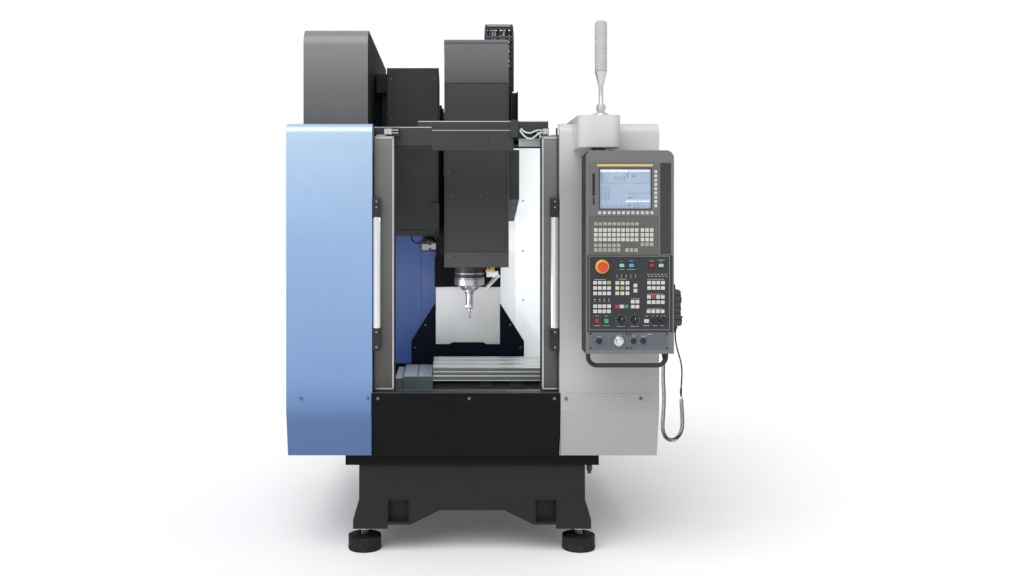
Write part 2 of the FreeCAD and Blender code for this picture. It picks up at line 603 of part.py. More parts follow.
def spindle():
    """Spindle shaft with its nose, the tool holder it grips and the drill in the holder."""
    node("spindle_shaft", cut(turned([
        (0, "nose_tip"), ("body_radius * 2", "nose_tip"), ("ring_radius * 0.8", "ring_bottom"),
        ("ring_radius", "ring_bottom"), ("ring_radius", "nose_top - gap"),
        ("shaft_radius", "nose_top - gap"), ("shaft_radius", "head_bottom - gap"),
        ("draw_radius", "head_bottom - gap"), ("draw_radius", "head_top - gap"),
        (0, "head_top - gap")], 0, SPINDLE_Y),
        rod("z", "shank_radius + gap", (0, SPINDLE_Y), "nose_tip - 1", "nose_tip + 48")))
    holder = turned([
        (0, "nose_tip - 90"), ("nut_radius", "nose_tip - 90"), ("nut_radius", "nose_tip - 68"),
        ("body_radius", "nose_tip - 68"), ("body_radius", "nose_tip - 16"),
        ("holder_radius", "nose_tip - 16"), ("holder_radius", "nose_tip"),
        ("shank_radius", "nose_tip"), ("shank_radius", "nose_tip + 45"),
        (0, "nose_tip + 45")], 0, SPINDLE_Y)
    node("tool_holder", cut(holder, rod("z", "drill_radius + gap", (0, SPINDLE_Y),
                                        "nose_tip - 91", "nose_tip - 60")))
    node("drill", turned([
        (0, "drill_tip"), ("drill_radius", "drill_tip + 4"), ("drill_radius", "nose_tip - 60"),
        (0, "nose_tip - 60")], 0, SPINDLE_Y))


def coolant_nozzle():
    """Coolant block under the head at its right, with a jet tube aimed at the tool."""
    block = box((72, 128), around(SPINDLE_Y, 22), ("nose_top + 8", "head_bottom"))
    jet = rod("z", 5, ("housing_radius + 42", SPINDLE_Y), "nose_top - 36", "nose_top + 9")
    node("coolant_nozzle", fuse(block, jet))


def z_shield():
    """Upright shield that hangs from the head in front of the column's foot."""
    wide = prism("y", [
        ("-shield_half", "shield_bottom"), (-100, "shield_bottom"), (-80, "shield_bottom + 10"),
        (80, "shield_bottom + 10"), (100, "shield_bottom"), ("shield_half", "shield_bottom"),
        ("shield_half", "shield_top"), ("head_right", "shield_top"),
        ("head_right", "head_bottom"), ("-head_right", "head_bottom"),
        ("-head_right", "shield_top"), ("-shield_half", "shield_top")],
        "shield_y", "shield_y + sheet")
    node("z_shield", wide)


def drag_chain():
    """Cable chain: a run on the column, a run on the head and the loop that rolls between."""
    right = "(chain_left + chain_wide)"
    inset = "(chain_wall + chain_gap)"
    core_x = (f"chain_left + {inset}", f"{right} - {inset}")
    runs = {}
    for name, sign in (("front", -1), ("back", 1)):
        low, high = ("chain_radius - chain_thick", "chain_radius")
        near = (f"chain_axis + {low}", f"chain_axis + {high}") if sign > 0 else (
            f"chain_axis - {high}", f"chain_axis - ({low})")
        runs[name] = near
    def core_y(name):
        near, far = runs[name]
        return f"{near} + {inset}", f"{far} - {inset}"
    node("chain_back_run", box(core_x, core_y("back"),
                               ("column_top", "chain_centre - chain_fall - 2")))
    low = "chain_centre - chain_leg - chain_rise"
    front = box(core_x, core_y("front"), (f"{low} - 40", "chain_centre - chain_rise - 2"))
    plate_z = (f"{low} - 46", f"{low} - 40")
    arm = box((60, "cover_right - 20"), ("-spindle_ahead + 90", core_y("front")[1]), plate_z)
    bracket = box((60, f"{right} + 12"), ("cover_back + 3", core_y("front")[1]), plate_z)
    node("chain_front_run", fuse(front, arm, bracket))
    leg_z = ("chain_centre - chain_leg", "chain_centre")
    shells = [box(("chain_left", right), runs[name], leg_z) for name in runs]
    holes = [box(("chain_left + chain_wall", f"{right} - chain_wall"),
                 (f"{runs[name][0]} + chain_wall", f"{runs[name][1]} - chain_wall"),
                 (f"{leg_z[0]} - 1", f"{leg_z[1]} + 1")) for name in runs]
    def ring(outer, inner, inset_x):
        span = (f"chain_left + {inset_x}", f"{right} - {inset_x}")
        whole = rod("x", outer, ("chain_axis", "chain_centre"), *span)
        core = rod("x", inner, ("chain_axis", "chain_centre"), f"{span[0]} - 1", f"{span[1]} + 1")
        under = box((f"{span[0]} - 2", f"{span[1]} + 2"), around("chain_axis", 400),
                    ("chain_centre - 400", "chain_centre"))
        return cut(whole, core, under)
    bend = ring("chain_radius", "chain_radius - chain_thick", 0)
    hollow = ring("chain_radius - chain_wall", "chain_radius - chain_thick + chain_wall",
                  "chain_wall")
    node("chain_loop", cut(fuse(bend, *shells), hollow, *holes))


def magazine():
    """Tool magazine: a round-fronted cover on the roof, and the tool disc that turns in it."""
    x_span = ("-magazine_left", "-magazine_right")
    y_span = ("-magazine_front", "-magazine_front + magazine_long")
    cover = rounded(x_span, y_span, ("cabinet_top", "magazine_top"), "magazine_round", "x",
                    [(-1, 1)])
    inner = rounded(("-magazine_left + sheet", "-magazine_right - sheet"),
                    ("-magazine_front + sheet", "-magazine_front + magazine_long - sheet"),
                    ("cabinet_top - 1", "magazine_top - sheet"), "(magazine_round - sheet)", "x",
                    [(-1, 1)])
    window = box(("-magazine_right - 9", "-magazine_right + 1"),
                 ("-magazine_front + 421", "-magazine_front + magazine_long - 60"),
                 ("cabinet_top + 20", "magazine_top - 169"))
    axle_y = "-spindle_ahead"
    boss = rod("x", 38, (axle_y, "disc_height"), "-magazine_left + sheet",
               "-magazine_left + 48")
    bore = rod("x", "20 + bearing_gap", (axle_y, "disc_height"), "-magazine_left + 8",
               "-magazine_left + 49")
    node("magazine_cover", cut(fuse(cut(cover, inner, window), boss), bore))
    disc = rod("x", "disc_radius", (axle_y, "disc_height"), -650, -626)
    axle = rod("x", 20, (axle_y, "disc_height"), "-magazine_left + 10", -630)
    pots = []
    count = 14
    for index in range(count):
        turn = f"{360 * index / count:.4f}"
        pots.append(rod("x", "pot_radius",
                        (f"{axle_y} + pot_circle * cos({turn})",
                         f"disc_height + pot_circle * sin({turn})"), -630, -540))
    node("magazine_disc", fuse(disc, axle, *pots))


def tool_changer():
    """Changer housing beside the head, and its double arm on an upright shaft."""
    x_span = ("-changer_left", "-changer_right")
    shell = box(x_span, ("-changer_front", REAR_WALL), ("changer_bottom", "changer_top"))
    inner = box(("-changer_left + sheet", "-changer_right - sheet"),
                ("-changer_front + sheet", f"{REAR_WALL} - sheet"),
                ("changer_bottom + 20", "changer_top - sheet"))
    bore = rod("z", "30 + bearing_gap", ("-arm_side", SPINDLE_Y), "changer_bottom - 1",
               "changer_bottom + 30")
    vent = box((-390, -300), (0, 100), ("changer_bottom - 1", "changer_bottom + 30"))
    pad = box(("-changer_right - 40", "-changer_right + 3"),
              ("-changer_front - 12", "-changer_front + 2"),
              ("changer_bottom - 4", "changer_bottom + 158"))
    node("tool_changer_housing", cut(fuse(shell, pad), inner, bore, vent))
    shaft = rod("z", 30, ("-arm_side", SPINDLE_Y), "arm_top", "changer_bottom + 140")
    hub = rod("z", 42, ("-arm_side", SPINDLE_Y), "arm_top - arm_thick - 8", "arm_top")
    beam = box(around("-arm_side", 22), around(SPINDLE_Y, "arm_reach"),
               ("arm_top - arm_thick", "arm_top"))
    grips, mouths = [], []
    for sign in SIDES:
        where = f"(-spindle_ahead + {sign} * arm_reach)"
        grips.append(rod("z", 36, ("-arm_side", where), "arm_top - arm_thick", "arm_top"))
        mouths.append(rod("z", 23, ("-arm_side", f"{where} + {sign} * 8"),
                          "arm_top - arm_thick - 1", "arm_top + 1"))
    node("tool_change_arm", cut(fuse(shaft, hub, beam, *grips), *mouths))


def electrical_cabinet():
    """Rear cabinet for the drives, open below for its cables, with its isolator switch."""
    shell = box(("-electric_half", "electric_half"),
                ("rear_depth", "rear_depth + electric_deep"),
                ("electric_bottom", "electric_top"))
    inner = box(("-electric_half + sheet", "electric_half - sheet"),
                ("rear_depth + sheet", "rear_depth + electric_deep - sheet"),
                ("electric_bottom - 1", "electric_top - sheet"))
    isolator = rod("y", "isolator_radius", ("isolator_side", "isolator_height"),
                   "rear_depth + electric_deep - 1",
                   "rear_depth + electric_deep + isolator_deep")
    node("electrical_cabinet", fuse(cut(shell, inner), isolator))


SKIRT_SCREWS = (-735, -450, -406, -15, 350, 400, 720)


def panel_screws():
    """Domed screws of the front skirts and of the tool changer's cover."""
    heads = []
    for x in SKIRT_SCREWS:
        heads.append(rod("y", 6, (x, "sill_top - 22"), f"{FRONT} - 3", FRONT))
    for x in (-360, -250):
        for z in ("changer_bottom + 300", "changer_bottom + 415"):
            heads.append(rod("y", 6, (x, z), "-changer_front - 3", "-changer_front"))
    node("panel_screws", group(*heads))


def panel_arm():
    """Carrying arm of the operator panel, from the roof out over the front."""
    top = "(arm_bottom + arm_high)"
    beam = rounded(("arm_left", "arm_right"), (f"{PIVOT_Y} - 90", FRONT),
                   ("arm_bottom", top), "40", "z", [(-1, -1), (1, -1)])
    foot = box(("arm_left", "arm_right"), (f"{FRONT} - 1", f"{FRONT} + 240"),
               ("cabinet_top", top))
    bore = rod("z", "30 + bearing_gap", ("pivot_side", PIVOT_Y), "arm_bottom - 1",
               "arm_bottom + 70")
    node("panel_arm", cut(fuse(beam, foot), bore))
    node("signal_lamp", turned([
        (0, top), (35, top), (35, f"{top} + 13"), (14, f"{top} + 20"), (20, f"{top} + 36"),
        (18, f"{top} + 52"), (9.5, f"{top} + 56"), (9.5, "lamp_top - 275"),
        (24, "lamp_top - 221"), ("lamp_radius", "lamp_top - 215"),
        ("lamp_radius", "lamp_top - 8"), ("lamp_radius - 8", "lamp_top"), (0, "lamp_top")],
        "lamp_side", f"{PIVOT_Y} + 30"))


def panel_housing():
    """Hollow operator panel with its swivel post, recessed screen and control pockets."""
    outer = rounded(("panel_left", "panel_right"), (PANEL_FACE, PANEL_BACK),
                    ("panel_bottom", "panel_top"), "panel_round", "y", [(-1, 1), (1, 1)])
    inner = box(("panel_left + 12", "panel_right - 12"),
                (f"{PANEL_FACE} + 24", f"{PANEL_BACK} - sheet"),
                ("panel_bottom + 12", "panel_top - 12"))
    entry = rod("z", 15, (700, f"{PANEL_BACK} - 40"), "panel_bottom - 1", "panel_bottom + 20")
    screen = box(("screen_left", "screen_left + screen_wide"),
                 (f"{PANEL_FACE} - 1", f"{PANEL_FACE} + 6"),
                 ("screen_bottom", "screen_bottom + screen_high"))
    holes = [rod("y", radius, (x, z), f"{PANEL_FACE} - 1", f"{PANEL_FACE} + 20")
             for x, z, radius in (("stop_side", "stop_height", "8 + gap"),
                                  ("feed_side", "knob_height", "5 + bearing_gap"),
                                  ("speed_side", "knob_height", "5 + bearing_gap"),
                                  ("start_side", "button_height", "8 + gap"))]
    post = rod("z", 30, ("pivot_side", PIVOT_Y), "panel_top", "arm_bottom + 60")
    shoe = box(("pivot_side - 42", "pivot_side + 42"), (f"{PANEL_BACK} - 30", f"{PIVOT_Y} + 42"),
               ("panel_top - 30", "panel_top"))
    gland = rod("z", 11, (778, -1028), 917, "panel_bottom + 1")
    node("panel_housing", fuse(cut(outer, inner, entry, screen, *holes), post, shoe, gland))
    node("panel_screen", box(("screen_left", "screen_left + screen_wide"),
                             (f"{PANEL_FACE} + 3", f"{PANEL_FACE} + 6"),
                             ("screen_bottom", "screen_bottom + screen_high")))


# groups of keys: X and Z of the first key at the top left, the two pitches, how many
# columns and rows, and each key's width and height
KEY_BLOCKS = (
    (508, 1497, 19.2, 0, 12, 1, 12, 12),
    (735, 1663, 0, 17.2, 1, 9, 12, 12),
    (493, 1452, 18.4, 0, 10, 1, 14, 12),
    (492, 1427, 18.4, 19.2, 10, 3, 14, 14),
    (492, 1365, 18.4, 18.6, 6, 2, 14, 14),
    (681, 1427, 18.6, 19.2, 3, 4, 14, 14),
    (618, 1346, 18.6, 0, 3, 1, 14, 14),
    (489.5, 1214, 18.8, 21.7, 4, 3, 15, 14),
    (579.3, 1213, 20.5, 21, 3, 3, 15, 14),
    (652.5, 1202.6, 0, 20.8, 1, 2, 15, 14),
    (489.5, 1118.7, 18.6, 20.5, 4, 2, 15, 14),
    (578.6, 1117.7, 18.6, 0, 3, 1, 16, 14),
    (642, 1137, 18.5, 20, 2, 2, 15, 14),
    (708, 1214, 18.7, 21.4, 4, 2, 15, 14),
    (707.5, 1156, 18.5, 21, 4, 2, 15, 14),
    (706, 1098, 18.8, 0, 4, 1, 15, 14),
    (697.5, 1059, 0, 0, 1, 1, 19, 14),
)


def key_block(x, z, pitch_x, pitch_z, columns, rows, wide, high):
    """Raised keys in a grid; x and z are the first key's centre, at the top left."""
    keys = []
    for row in range(rows):
        for column in range(columns):
            keys.append(box(around(x + column * pitch_x, wide / 2),
                            (f"{PANEL_FACE} - key_high", PANEL_FACE),
                            around(z - row * pitch_z, high / 2)))
    return keys


def panel_keys():
    """Keys, static buttons and selector caps of the panel's face."""
    keys = [key for block in KEY_BLOCKS for key in key_block(*block)]
    lamps = [box(around(x, 10), (f"{PANEL_FACE} - 7", PANEL_FACE), around(1284, 7))
             for x in (597, 636, 718, 756)]
    hold = box(around(497, "button_wide / 2"), (f"{PANEL_FACE} - 6", PANEL_FACE),
               around("button_height", "button_wide / 2"))
    caps = [rod("y", 10, (x, "button_height"), f"{PANEL_FACE} - 14", PANEL_FACE)
            for x in (732, 762)]
    plates = [box(span, (f"{PANEL_FACE} - 2", PANEL_FACE), (948, 1008))
              for span in ((466, 622), (628, 784))]
    lower = [rod("y", radius, (x, 978), f"{PANEL_FACE} - {deep}", f"{PANEL_FACE} - 2")
             for x, radius, deep in ((506, 9, 14), (586, 12, 20), (645, 9, 14), (684, 9, 14))]
    collar = cut(rod("y", 28, ("stop_side", "stop_height"), f"{PANEL_FACE} - 2", PANEL_FACE),
                 rod("y", "8 + gap", ("stop_side", "stop_height"), f"{PANEL_FACE} - 3",
                     f"{PANEL_FACE} + 1"))
    node("panel_keys", group(*keys, *lamps, hold, *caps, *plates, *lower, collar))


def panel_controls():
    """Push buttons and rotary switches that move: each cap with its stem in the panel."""
    stop = fuse(rod("y", "stop_radius", ("stop_side", "stop_height"), f"{PANEL_FACE} - 32",
                    f"{PANEL_FACE} - 16"),
                rod("y", 8, ("stop_side", "stop_height"), f"{PANEL_FACE} - 17",
                    f"{PANEL_FACE} + 12"))
    node("emergency_stop", stop)
    start = fuse(box(around("start_side", "button_wide / 2"),
                     (f"{PANEL_FACE} - 9", f"{PANEL_FACE} - 3"),
                     around("button_height", "button_wide / 2")),
                 rod("y", 8, ("start_side", "button_height"), f"{PANEL_FACE} - 4",
                     f"{PANEL_FACE} + 12"))
    node("cycle_start_button", start)
    for label, side in (("feed_knob", "feed_side"), ("speed_knob", "speed_side")):
        cap = rod("y", "knob_radius", (side, "knob_height"), f"{PANEL_FACE} - 20",
                  f"{PANEL_FACE} - gap")
        grip = box(around(side, 3), (f"{PANEL_FACE} - 24", f"{PANEL_FACE} - 19"),
                   around("knob_height", "(knob_radius - 1)"))
        stem = rod("y", 5, (side, "knob_height"), f"{PANEL_FACE} - 1", f"{PANEL_FACE} + 15")
        node(label, fuse(cap, grip, stem))


def panel_handle():
    """U-shaped tube under the panel."""
    left = "(panel_left + bar_left)"
    right = "(panel_right - bar_right)"
    low = "(panel_bottom - bar_drop)"
    where = f"({PANEL_FACE} + 30)"
    legs = [rod("z", "bar_radius", (x, where), f"{low} + bar_bend", "panel_bottom")
            for x in (left, right)]
    bar = rod("x", "bar_radius", (where, low), f"{left} + bar_bend", f"{right} - bar_bend")
    bends = []
    for x, start in ((f"{left} + bar_bend", 180), (f"{right} - bar_bend", 270)):
        bend = doc.addObject("Part::Torus", "Bend")
        bend.setExpression("Radius1", sized("bar_bend"))
        bend.setExpression("Radius2", sized("bar_radius"))
        bend.Angle3 = 90
        spin = FreeCAD.Rotation(V(0, 0, 1), start)
        bend.Placement = FreeCAD.Placement(V(), FreeCAD.Rotation(V(1, 0, 0), 90) * spin)
        for name, place in zip(AXES, (x, where, f"{low} + bar_bend")):
            bend.setExpression(f"Placement.Base.{name}", sized(place))
        bends.append(bend)
    node("panel_handle", fuse(*legs, bar, *bends))


def hand_wheel():
    """Manual pulse unit on the panel's right side, and the dial on its outer face."""
    y_span = (f"{PANEL_FACE} + 10", f"{PANEL_FACE} + 110")
    middle = f"({PANEL_FACE} + 62)"
    unit = rounded(("panel_right", "wheel_box_right"), y_span,
                   ("wheel_box_bottom", "wheel_box_top"), "10", "y", [(1, -1), (1, 1)])
    stop = rod("x", 13, (middle, "wheel_box_top - 44"), "wheel_box_right - 1",
               "wheel_box_right + 12")
    toggle = rod("x", 3, (middle, "wheel_box_top - 82"), "wheel_box_right - 1",
                 "wheel_box_right + 13")
    bore = rod("x", "5 + bearing_gap", (middle, "dial_height"), "wheel_box_right - 20",
               "wheel_box_right + 1")
    gland = rod("z", 9, ("panel_right + 18", middle), "wheel_box_bottom - 16",
                "wheel_box_bottom + 1")
    node("pulse_unit", cut(fuse(unit, stop, toggle, gland), bore))
    dial = rod("x", "wheel_radius", (middle, "dial_height"), "wheel_box_right + gap",
               "wheel_box_right + 18")
    stem = rod("x", 5, (middle, "dial_height"), "wheel_box_right - 18", "wheel_box_right + 1")
    node("pulse_dial", fuse(dial, stem))


LEAD_ROUTE = ((827, -1028, 1021), (827, -1028, 978), (836, -1028, 934), (850, -1028, 890),
              (856, -1028, 846), (853, -1028, 802), (851, -1028, 760))
COIL_ROUTE = ((851, -1028, 760), (853, -1028, 705), (857, -1028, 650), (855, -1028, 598),
              (828, -1028, 562), (793, -1028, 564), (774, -1028, 602), (777, -1028, 656),
              (781, -1028, 712), (780, -1028, 768), (777, -1028, 824), (778, -1028, 875),
              (778, -1028, 917))


def tube(label, route, radius):
    """A cord's tube: straight runs joined by tangent arcs, each as large as its runs allow."""
    points = [V(*point) for point in route]
    edges, radii = [], []
    start = points[0]
    for before, corner, after in zip(points, points[1:], points[2:]):
        back, ahead = before - corner, after - corner
        shorter = min(back.Length, ahead.Length)
        turn = 180 - FreeCAD.Units.Quantity(back.getAngle(ahead), "rad").getValueAs("deg").Value
        back.normalize()
        ahead.normalize()
        reach = 0.45 * shorter
        bisector = (back + ahead).normalize()
        tangent = FreeCAD.Rotation(V(0, 0, 1), turn / 2).multVec(V(1, 0, 0))
        arc_radius = reach * tangent.x / tangent.y
        first, last = corner + back * reach, corner + ahead * reach
        middle = corner + bisector * (arc_radius / tangent.x - arc_radius)
        edges += [Part.makeLine(start, first), Part.Arc(first, middle, last).toShape()]
        radii.append(round(arc_radius, 1))
        start = last
    edges.append(Part.makeLine(start, points[-1]))
    length = sum(edge.Length for edge in edges)
    path = Part.Wire(edges)
    ring = Part.Wire(Part.makeCircle(radius, points[0], points[1] - points[0]))
    sweep = path.makePipeShell([ring], True, False)
    solid = doc.addObject("Part::Feature", "Tube")
    solid.Shape = sweep
    expected = 3.14159265 * radius ** 2 * length
    print(label, "radii", radii, "length", round(length, 1),
          "volume ratio", round(sweep.Volume / expected, 4))
    node(label, solid)


def cords():
    """Cord of the pulse unit: a thin lead, then the curled length back to the panel."""
    tube("cord_lead", LEAD_ROUTE, sizes.get("lead_radius"))
    tube("curly_cord", COIL_ROUTE, sizes.get("cord_radius"))


for build in (bed, levelling_feet, column, fixed_rails, axis_motors, front_panels, lower_panels,
              side_panels, inner_guards, column_apron, chip_tray, door_header, doors, saddle,
              table, table_covers, screws, head, head_cover, spindle, coolant_nozzle, z_shield,
              drag_chain, magazine, tool_changer, electrical_cabinet, panel_screws, panel_arm,
              panel_housing, panel_keys, panel_controls, panel_handle, hand_wheel, cords):
    build()

doc.recompute()
for item in doc.Objects:
    if {"Invalid", "Error"} & set(item.State):
        raise RuntimeError(f"{item.Name} failed: {item.State}")
for solid in nodes:
    if solid.Shape.isNull() or not solid.Shape.isValid() or not solid.Shape.Solids:
        raise RuntimeError(f"{solid.Label} has no valid shape")
os.makedirs("parts", exist_ok=True)
for solid in nodes:
    solid.Shape.exportStep(f"parts/{solid.Label}.step")
print(len(nodes), "sub-parts")
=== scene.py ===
"""Looks of the compact vertical machining centre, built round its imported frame."""
import json
import math
import random

import bmesh
import bpy
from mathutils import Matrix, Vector

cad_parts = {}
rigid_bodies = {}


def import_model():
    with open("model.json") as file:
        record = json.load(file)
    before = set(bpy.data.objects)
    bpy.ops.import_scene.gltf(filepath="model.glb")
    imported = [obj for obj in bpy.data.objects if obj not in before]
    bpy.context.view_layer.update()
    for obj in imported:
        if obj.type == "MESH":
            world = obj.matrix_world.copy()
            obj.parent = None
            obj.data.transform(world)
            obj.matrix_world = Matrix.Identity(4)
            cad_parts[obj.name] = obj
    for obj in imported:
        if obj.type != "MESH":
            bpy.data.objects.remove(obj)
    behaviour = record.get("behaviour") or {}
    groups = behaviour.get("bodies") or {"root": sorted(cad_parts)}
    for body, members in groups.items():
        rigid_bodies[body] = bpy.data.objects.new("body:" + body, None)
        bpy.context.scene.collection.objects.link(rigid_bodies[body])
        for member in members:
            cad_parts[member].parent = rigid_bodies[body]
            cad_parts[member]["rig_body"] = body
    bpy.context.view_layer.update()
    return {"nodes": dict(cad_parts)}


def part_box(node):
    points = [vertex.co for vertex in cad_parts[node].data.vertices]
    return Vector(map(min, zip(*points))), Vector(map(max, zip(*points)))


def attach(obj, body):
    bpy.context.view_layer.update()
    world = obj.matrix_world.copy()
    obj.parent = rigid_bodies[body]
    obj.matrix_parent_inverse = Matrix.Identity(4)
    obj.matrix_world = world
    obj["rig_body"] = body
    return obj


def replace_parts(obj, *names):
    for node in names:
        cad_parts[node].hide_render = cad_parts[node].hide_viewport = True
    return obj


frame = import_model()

NODES = frame["nodes"]
MM = 0.001
PAINT = {}
random.seed(7)


# ---------------------------------------------------------------- camera, light and floor

def camera():
    """Stands at the front, level, with the lens shifted to keep the uprights upright."""
    data = bpy.data.cameras.new("camera")
    data.lens, data.sensor_width = 36.91, 36
    data.shift_x, data.shift_y = 0.063, -0.0742
    data.clip_start, data.clip_end = 0.05, 100
    cam = bpy.data.objects.new("camera", data)
    cam.location = (-0.108, -5.34, 1.5)
    cam.rotation_euler = (math.radians(90), 0, 0)
    bpy.context.scene.collection.objects.link(cam)
    bpy.context.scene.camera = cam


def lamp(name, place, target, size, power, tint=(1, 1, 1)):
    data = bpy.data.lights.new(name, "AREA")
    data.shape, data.size, data.size_y = "RECTANGLE", *size
    data.energy, data.color = power, tint
    light = bpy.data.objects.new(name, data)
    light.location = place
    light.rotation_euler = (Vector(target) - Vector(place)).to_track_quat("-Z", "Y").to_euler()
    bpy.context.scene.collection.objects.link(light)


def studio():
    """White surroundings to the eye, dimmer as a light, with a wide sun high at the front."""
    world = bpy.data.worlds.new("studio")
    world.use_nodes = True
    tree = world.node_tree
    back = tree.nodes["Background"]
    back.inputs["Color"].default_value = (1, 1, 1, 1)
    level = tree.nodes.new("ShaderNodeMapRange")
    level.inputs["To Min"].default_value, level.inputs["To Max"].default_value = 0.55, 1.0
    seen = tree.nodes.new("ShaderNodeLightPath").outputs["Is Camera Ray"]
    tree.links.new(seen, level.inputs["Value"])
    tree.links.new(level.outputs["Result"], back.inputs["Strength"])
    bpy.context.scene.world = world
    bpy.context.scene.view_settings.view_transform = "Standard"
    sun = bpy.data.lights.new("sun", "SUN")
    sun.energy, sun.angle = 2.2, math.radians(50)
    light = bpy.data.objects.new("sun", sun)
    light.rotation_euler = Vector((0.35, 0.9, -1.1)).to_track_quat("-Z", "Y").to_euler()
    bpy.context.scene.collection.objects.link(light)
    lamp("work_lamp", (-0.60, -0.60, 1.02), (0.78, 0.0, 1.30), (0.3, 0.1), 4)
    lamp("work_lamp_right", (0.70, -0.45, 1.60), (-0.6, 0.1, 1.0), (0.3, 0.12), 4)
    lamp("table_lamp", (0.05, -0.72, 1.05), (0.05, 0.24, 0.86), (0.6, 0.1), 0.45)


def floor():
    """A plain pale floor, wide enough to run out of sight."""
    mesh = bpy.data.meshes.new("floor")
    mesh.from_pydata([(-40, -40, 0), (40, -40, 0), (40, 40, 0), (-40, 40, 0)], [], [(0, 1, 2, 3)])
    piece = bpy.data.objects.new("floor", mesh)
    bpy.context.scene.collection.objects.link(piece)
    mesh.materials.append(surface("floor_paint", (0.96, 0.96, 0.96), 0.6, vary=0.01, bump=0.02,
                                  grain=30, lit=0.075))


# ---------------------------------------------------------------- materials

class Nodes:
    """A material's node tree, with short calls for the few kinds of node it needs."""

    def __init__(self, name):
        self.material = bpy.data.materials.new(name)
        self.material.use_nodes = True
        self.tree = self.material.node_tree
        self.shader = self.tree.nodes["Principled BSDF"]
        self.place = self.tree.nodes.new("ShaderNodeTexCoord").outputs["Object"]

    def put(self, kind, **inputs):
        node = self.tree.nodes.new(kind)
        for key, value in inputs.items():
            socket = node.inputs[key.replace("_", " ")]
            if isinstance(value, bpy.types.NodeSocket):
                self.tree.links.new(value, socket)
            else:
                socket.default_value = value
        return node

    def link(self, output, name):
        self.tree.links.new(output, self.shader.inputs[name])

    def mapped(self, scale):
        node = self.put("ShaderNodeMapping", Vector=self.place)
        node.inputs["Scale"].default_value = scale
        return node.outputs["Vector"]

    def noise(self, scale, detail=3.0, stretch=(1, 1, 1), rough=0.5):
        node = self.put("ShaderNodeTexNoise", Vector=self.mapped(stretch), Scale=scale,
                        Detail=detail, Roughness=rough)
        return node.outputs["Fac"]

    def remap(self, value, low, high, start=0.3, end=0.7):
        node = self.put("ShaderNodeMapRange", Value=value, From_Min=start, From_Max=end,
                        To_Min=low, To_Max=high)
        return node.outputs["Result"]

    def mix(self, factor, first, second):
        node = self.tree.nodes.new("ShaderNodeMix")
        node.data_type = "RGBA"
        for index, value in ((0, factor), (6, first), (7, second)):
            if isinstance(value, bpy.types.NodeSocket):
                self.tree.links.new(value, node.inputs[index])
            elif isinstance(value, tuple):
                node.inputs[index].default_value = (*value[:3], 1)
            else:
                node.inputs[index].default_value = value
        return node.outputs[2]

    def scaled(self, color, factor):
        """A colour times a factor, where either may be a socket."""
        node = self.tree.nodes.new("ShaderNodeVectorMath")
        node.operation = "SCALE"
        for index, value in ((0, color), (3, factor)):
            if isinstance(value, bpy.types.NodeSocket):
                self.tree.links.new(value, node.inputs[index])
            else:
                node.inputs[index].default_value = value
        return node.outputs[0]

    def graded(self, stops):
        """Colour that changes with height: stops are (height in metres, colour) pairs."""
        height = self.tree.nodes.new("ShaderNodeSeparateXYZ")
        self.tree.links.new(self.place, height.inputs[0])
        low, high = stops[0][0], stops[-1][0]
        share = self.remap(height.outputs["Z"], 0, 1, low, high)
        ramp = self.tree.nodes.new("ShaderNodeValToRGB")
        self.tree.links.new(share, ramp.inputs["Fac"])
        bands = ramp.color_ramp.elements
        while len(bands) < len(stops):
            bands.new(0.5)
        for band, (where, color) in zip(bands, stops):
            band.position = (where - low) / (high - low)
            band.color = (*color, 1)
        return ramp.outputs["Color"]

    def bump(self, height, strength, distance=0.001):
        node = self.put("ShaderNodeBump", Height=height, Strength=strength, Distance=distance)
        self.link(node.outputs["Normal"], "Normal")


def shade(color, factor):
    return tuple(min(1.0, channel * factor) for channel in color)


def surface(name, color, rough, metal=0.0, coat=0.0, vary=0.05, bump=0.15, grain=900,
            stretch=(1, 1, 1), smudge=0.06, patch=3.0, dust=0.0, spec=0.4, lit=0.0):
    """Painted, moulded or machined surface: patchy colour, smudged gloss and a fine grain.

    The colour is one tone, or (height, tone) stops where it changes up the machine; the stops paint in
    light and shade."""
    made = Nodes(name)
    base = made.graded(color) if isinstance(color[0], tuple) else color
    patches = made.noise(patch, 4)
    fine = made.noise(grain, 2, stretch)
    tone = made.scaled(base, made.remap(patches, 1 - vary, 1 + vary))
    speck = made.scaled(tone, made.remap(fine, 1, 1 - 0.6 * vary, 0.35, 0.65))
    if dust:
        settled = made.remap(made.noise(14, 6, rough=0.7), 0, dust, 0.45, 0.8)
        speck = made.mix(settled, speck, (0.32, 0.31, 0.29))
    made.link(speck, "Base Color")
    if lit:
        made.link(speck, "Emission Color")
        made.shader.inputs["Emission Strength"].default_value = lit
    worn = made.noise(11, 5, stretch, 0.65)
    made.link(made.remap(worn, max(0.02, rough - smudge), min(1, rough + smudge)), "Roughness")
    made.bump(fine, bump)
    made.shader.inputs["Metallic"].default_value = metal
    made.shader.inputs["Specular IOR Level"].default_value = spec
    made.shader.inputs["Coat Weight"].default_value = coat
    made.shader.inputs["Coat Roughness"].default_value = 0.12
    return made.material


def cast_paint(name, color, rough):
    """Thick paint on a casting: pebbly under the brush, with chips along worn places."""
    made = Nodes(name)
    pebble = made.noise(160, 5, rough=0.6)
    wide = made.noise(9, 4)
    tone = made.mix(made.remap(wide, 0, 1), shade(color, 0.88), shade(color, 1.14))
    chips = made.remap(made.noise(70, 8, rough=0.75), 0, 0.55, 0.66, 0.74)
    made.link(made.mix(chips, tone, shade(color, 2.0)), "Base Color")
    made.link(made.remap(wide, rough - 0.08, rough + 0.1), "Roughness")
    made.bump(pebble, 0.5, 0.002)
    made.shader.inputs["Specular IOR Level"].default_value = 0.22
    return made.material


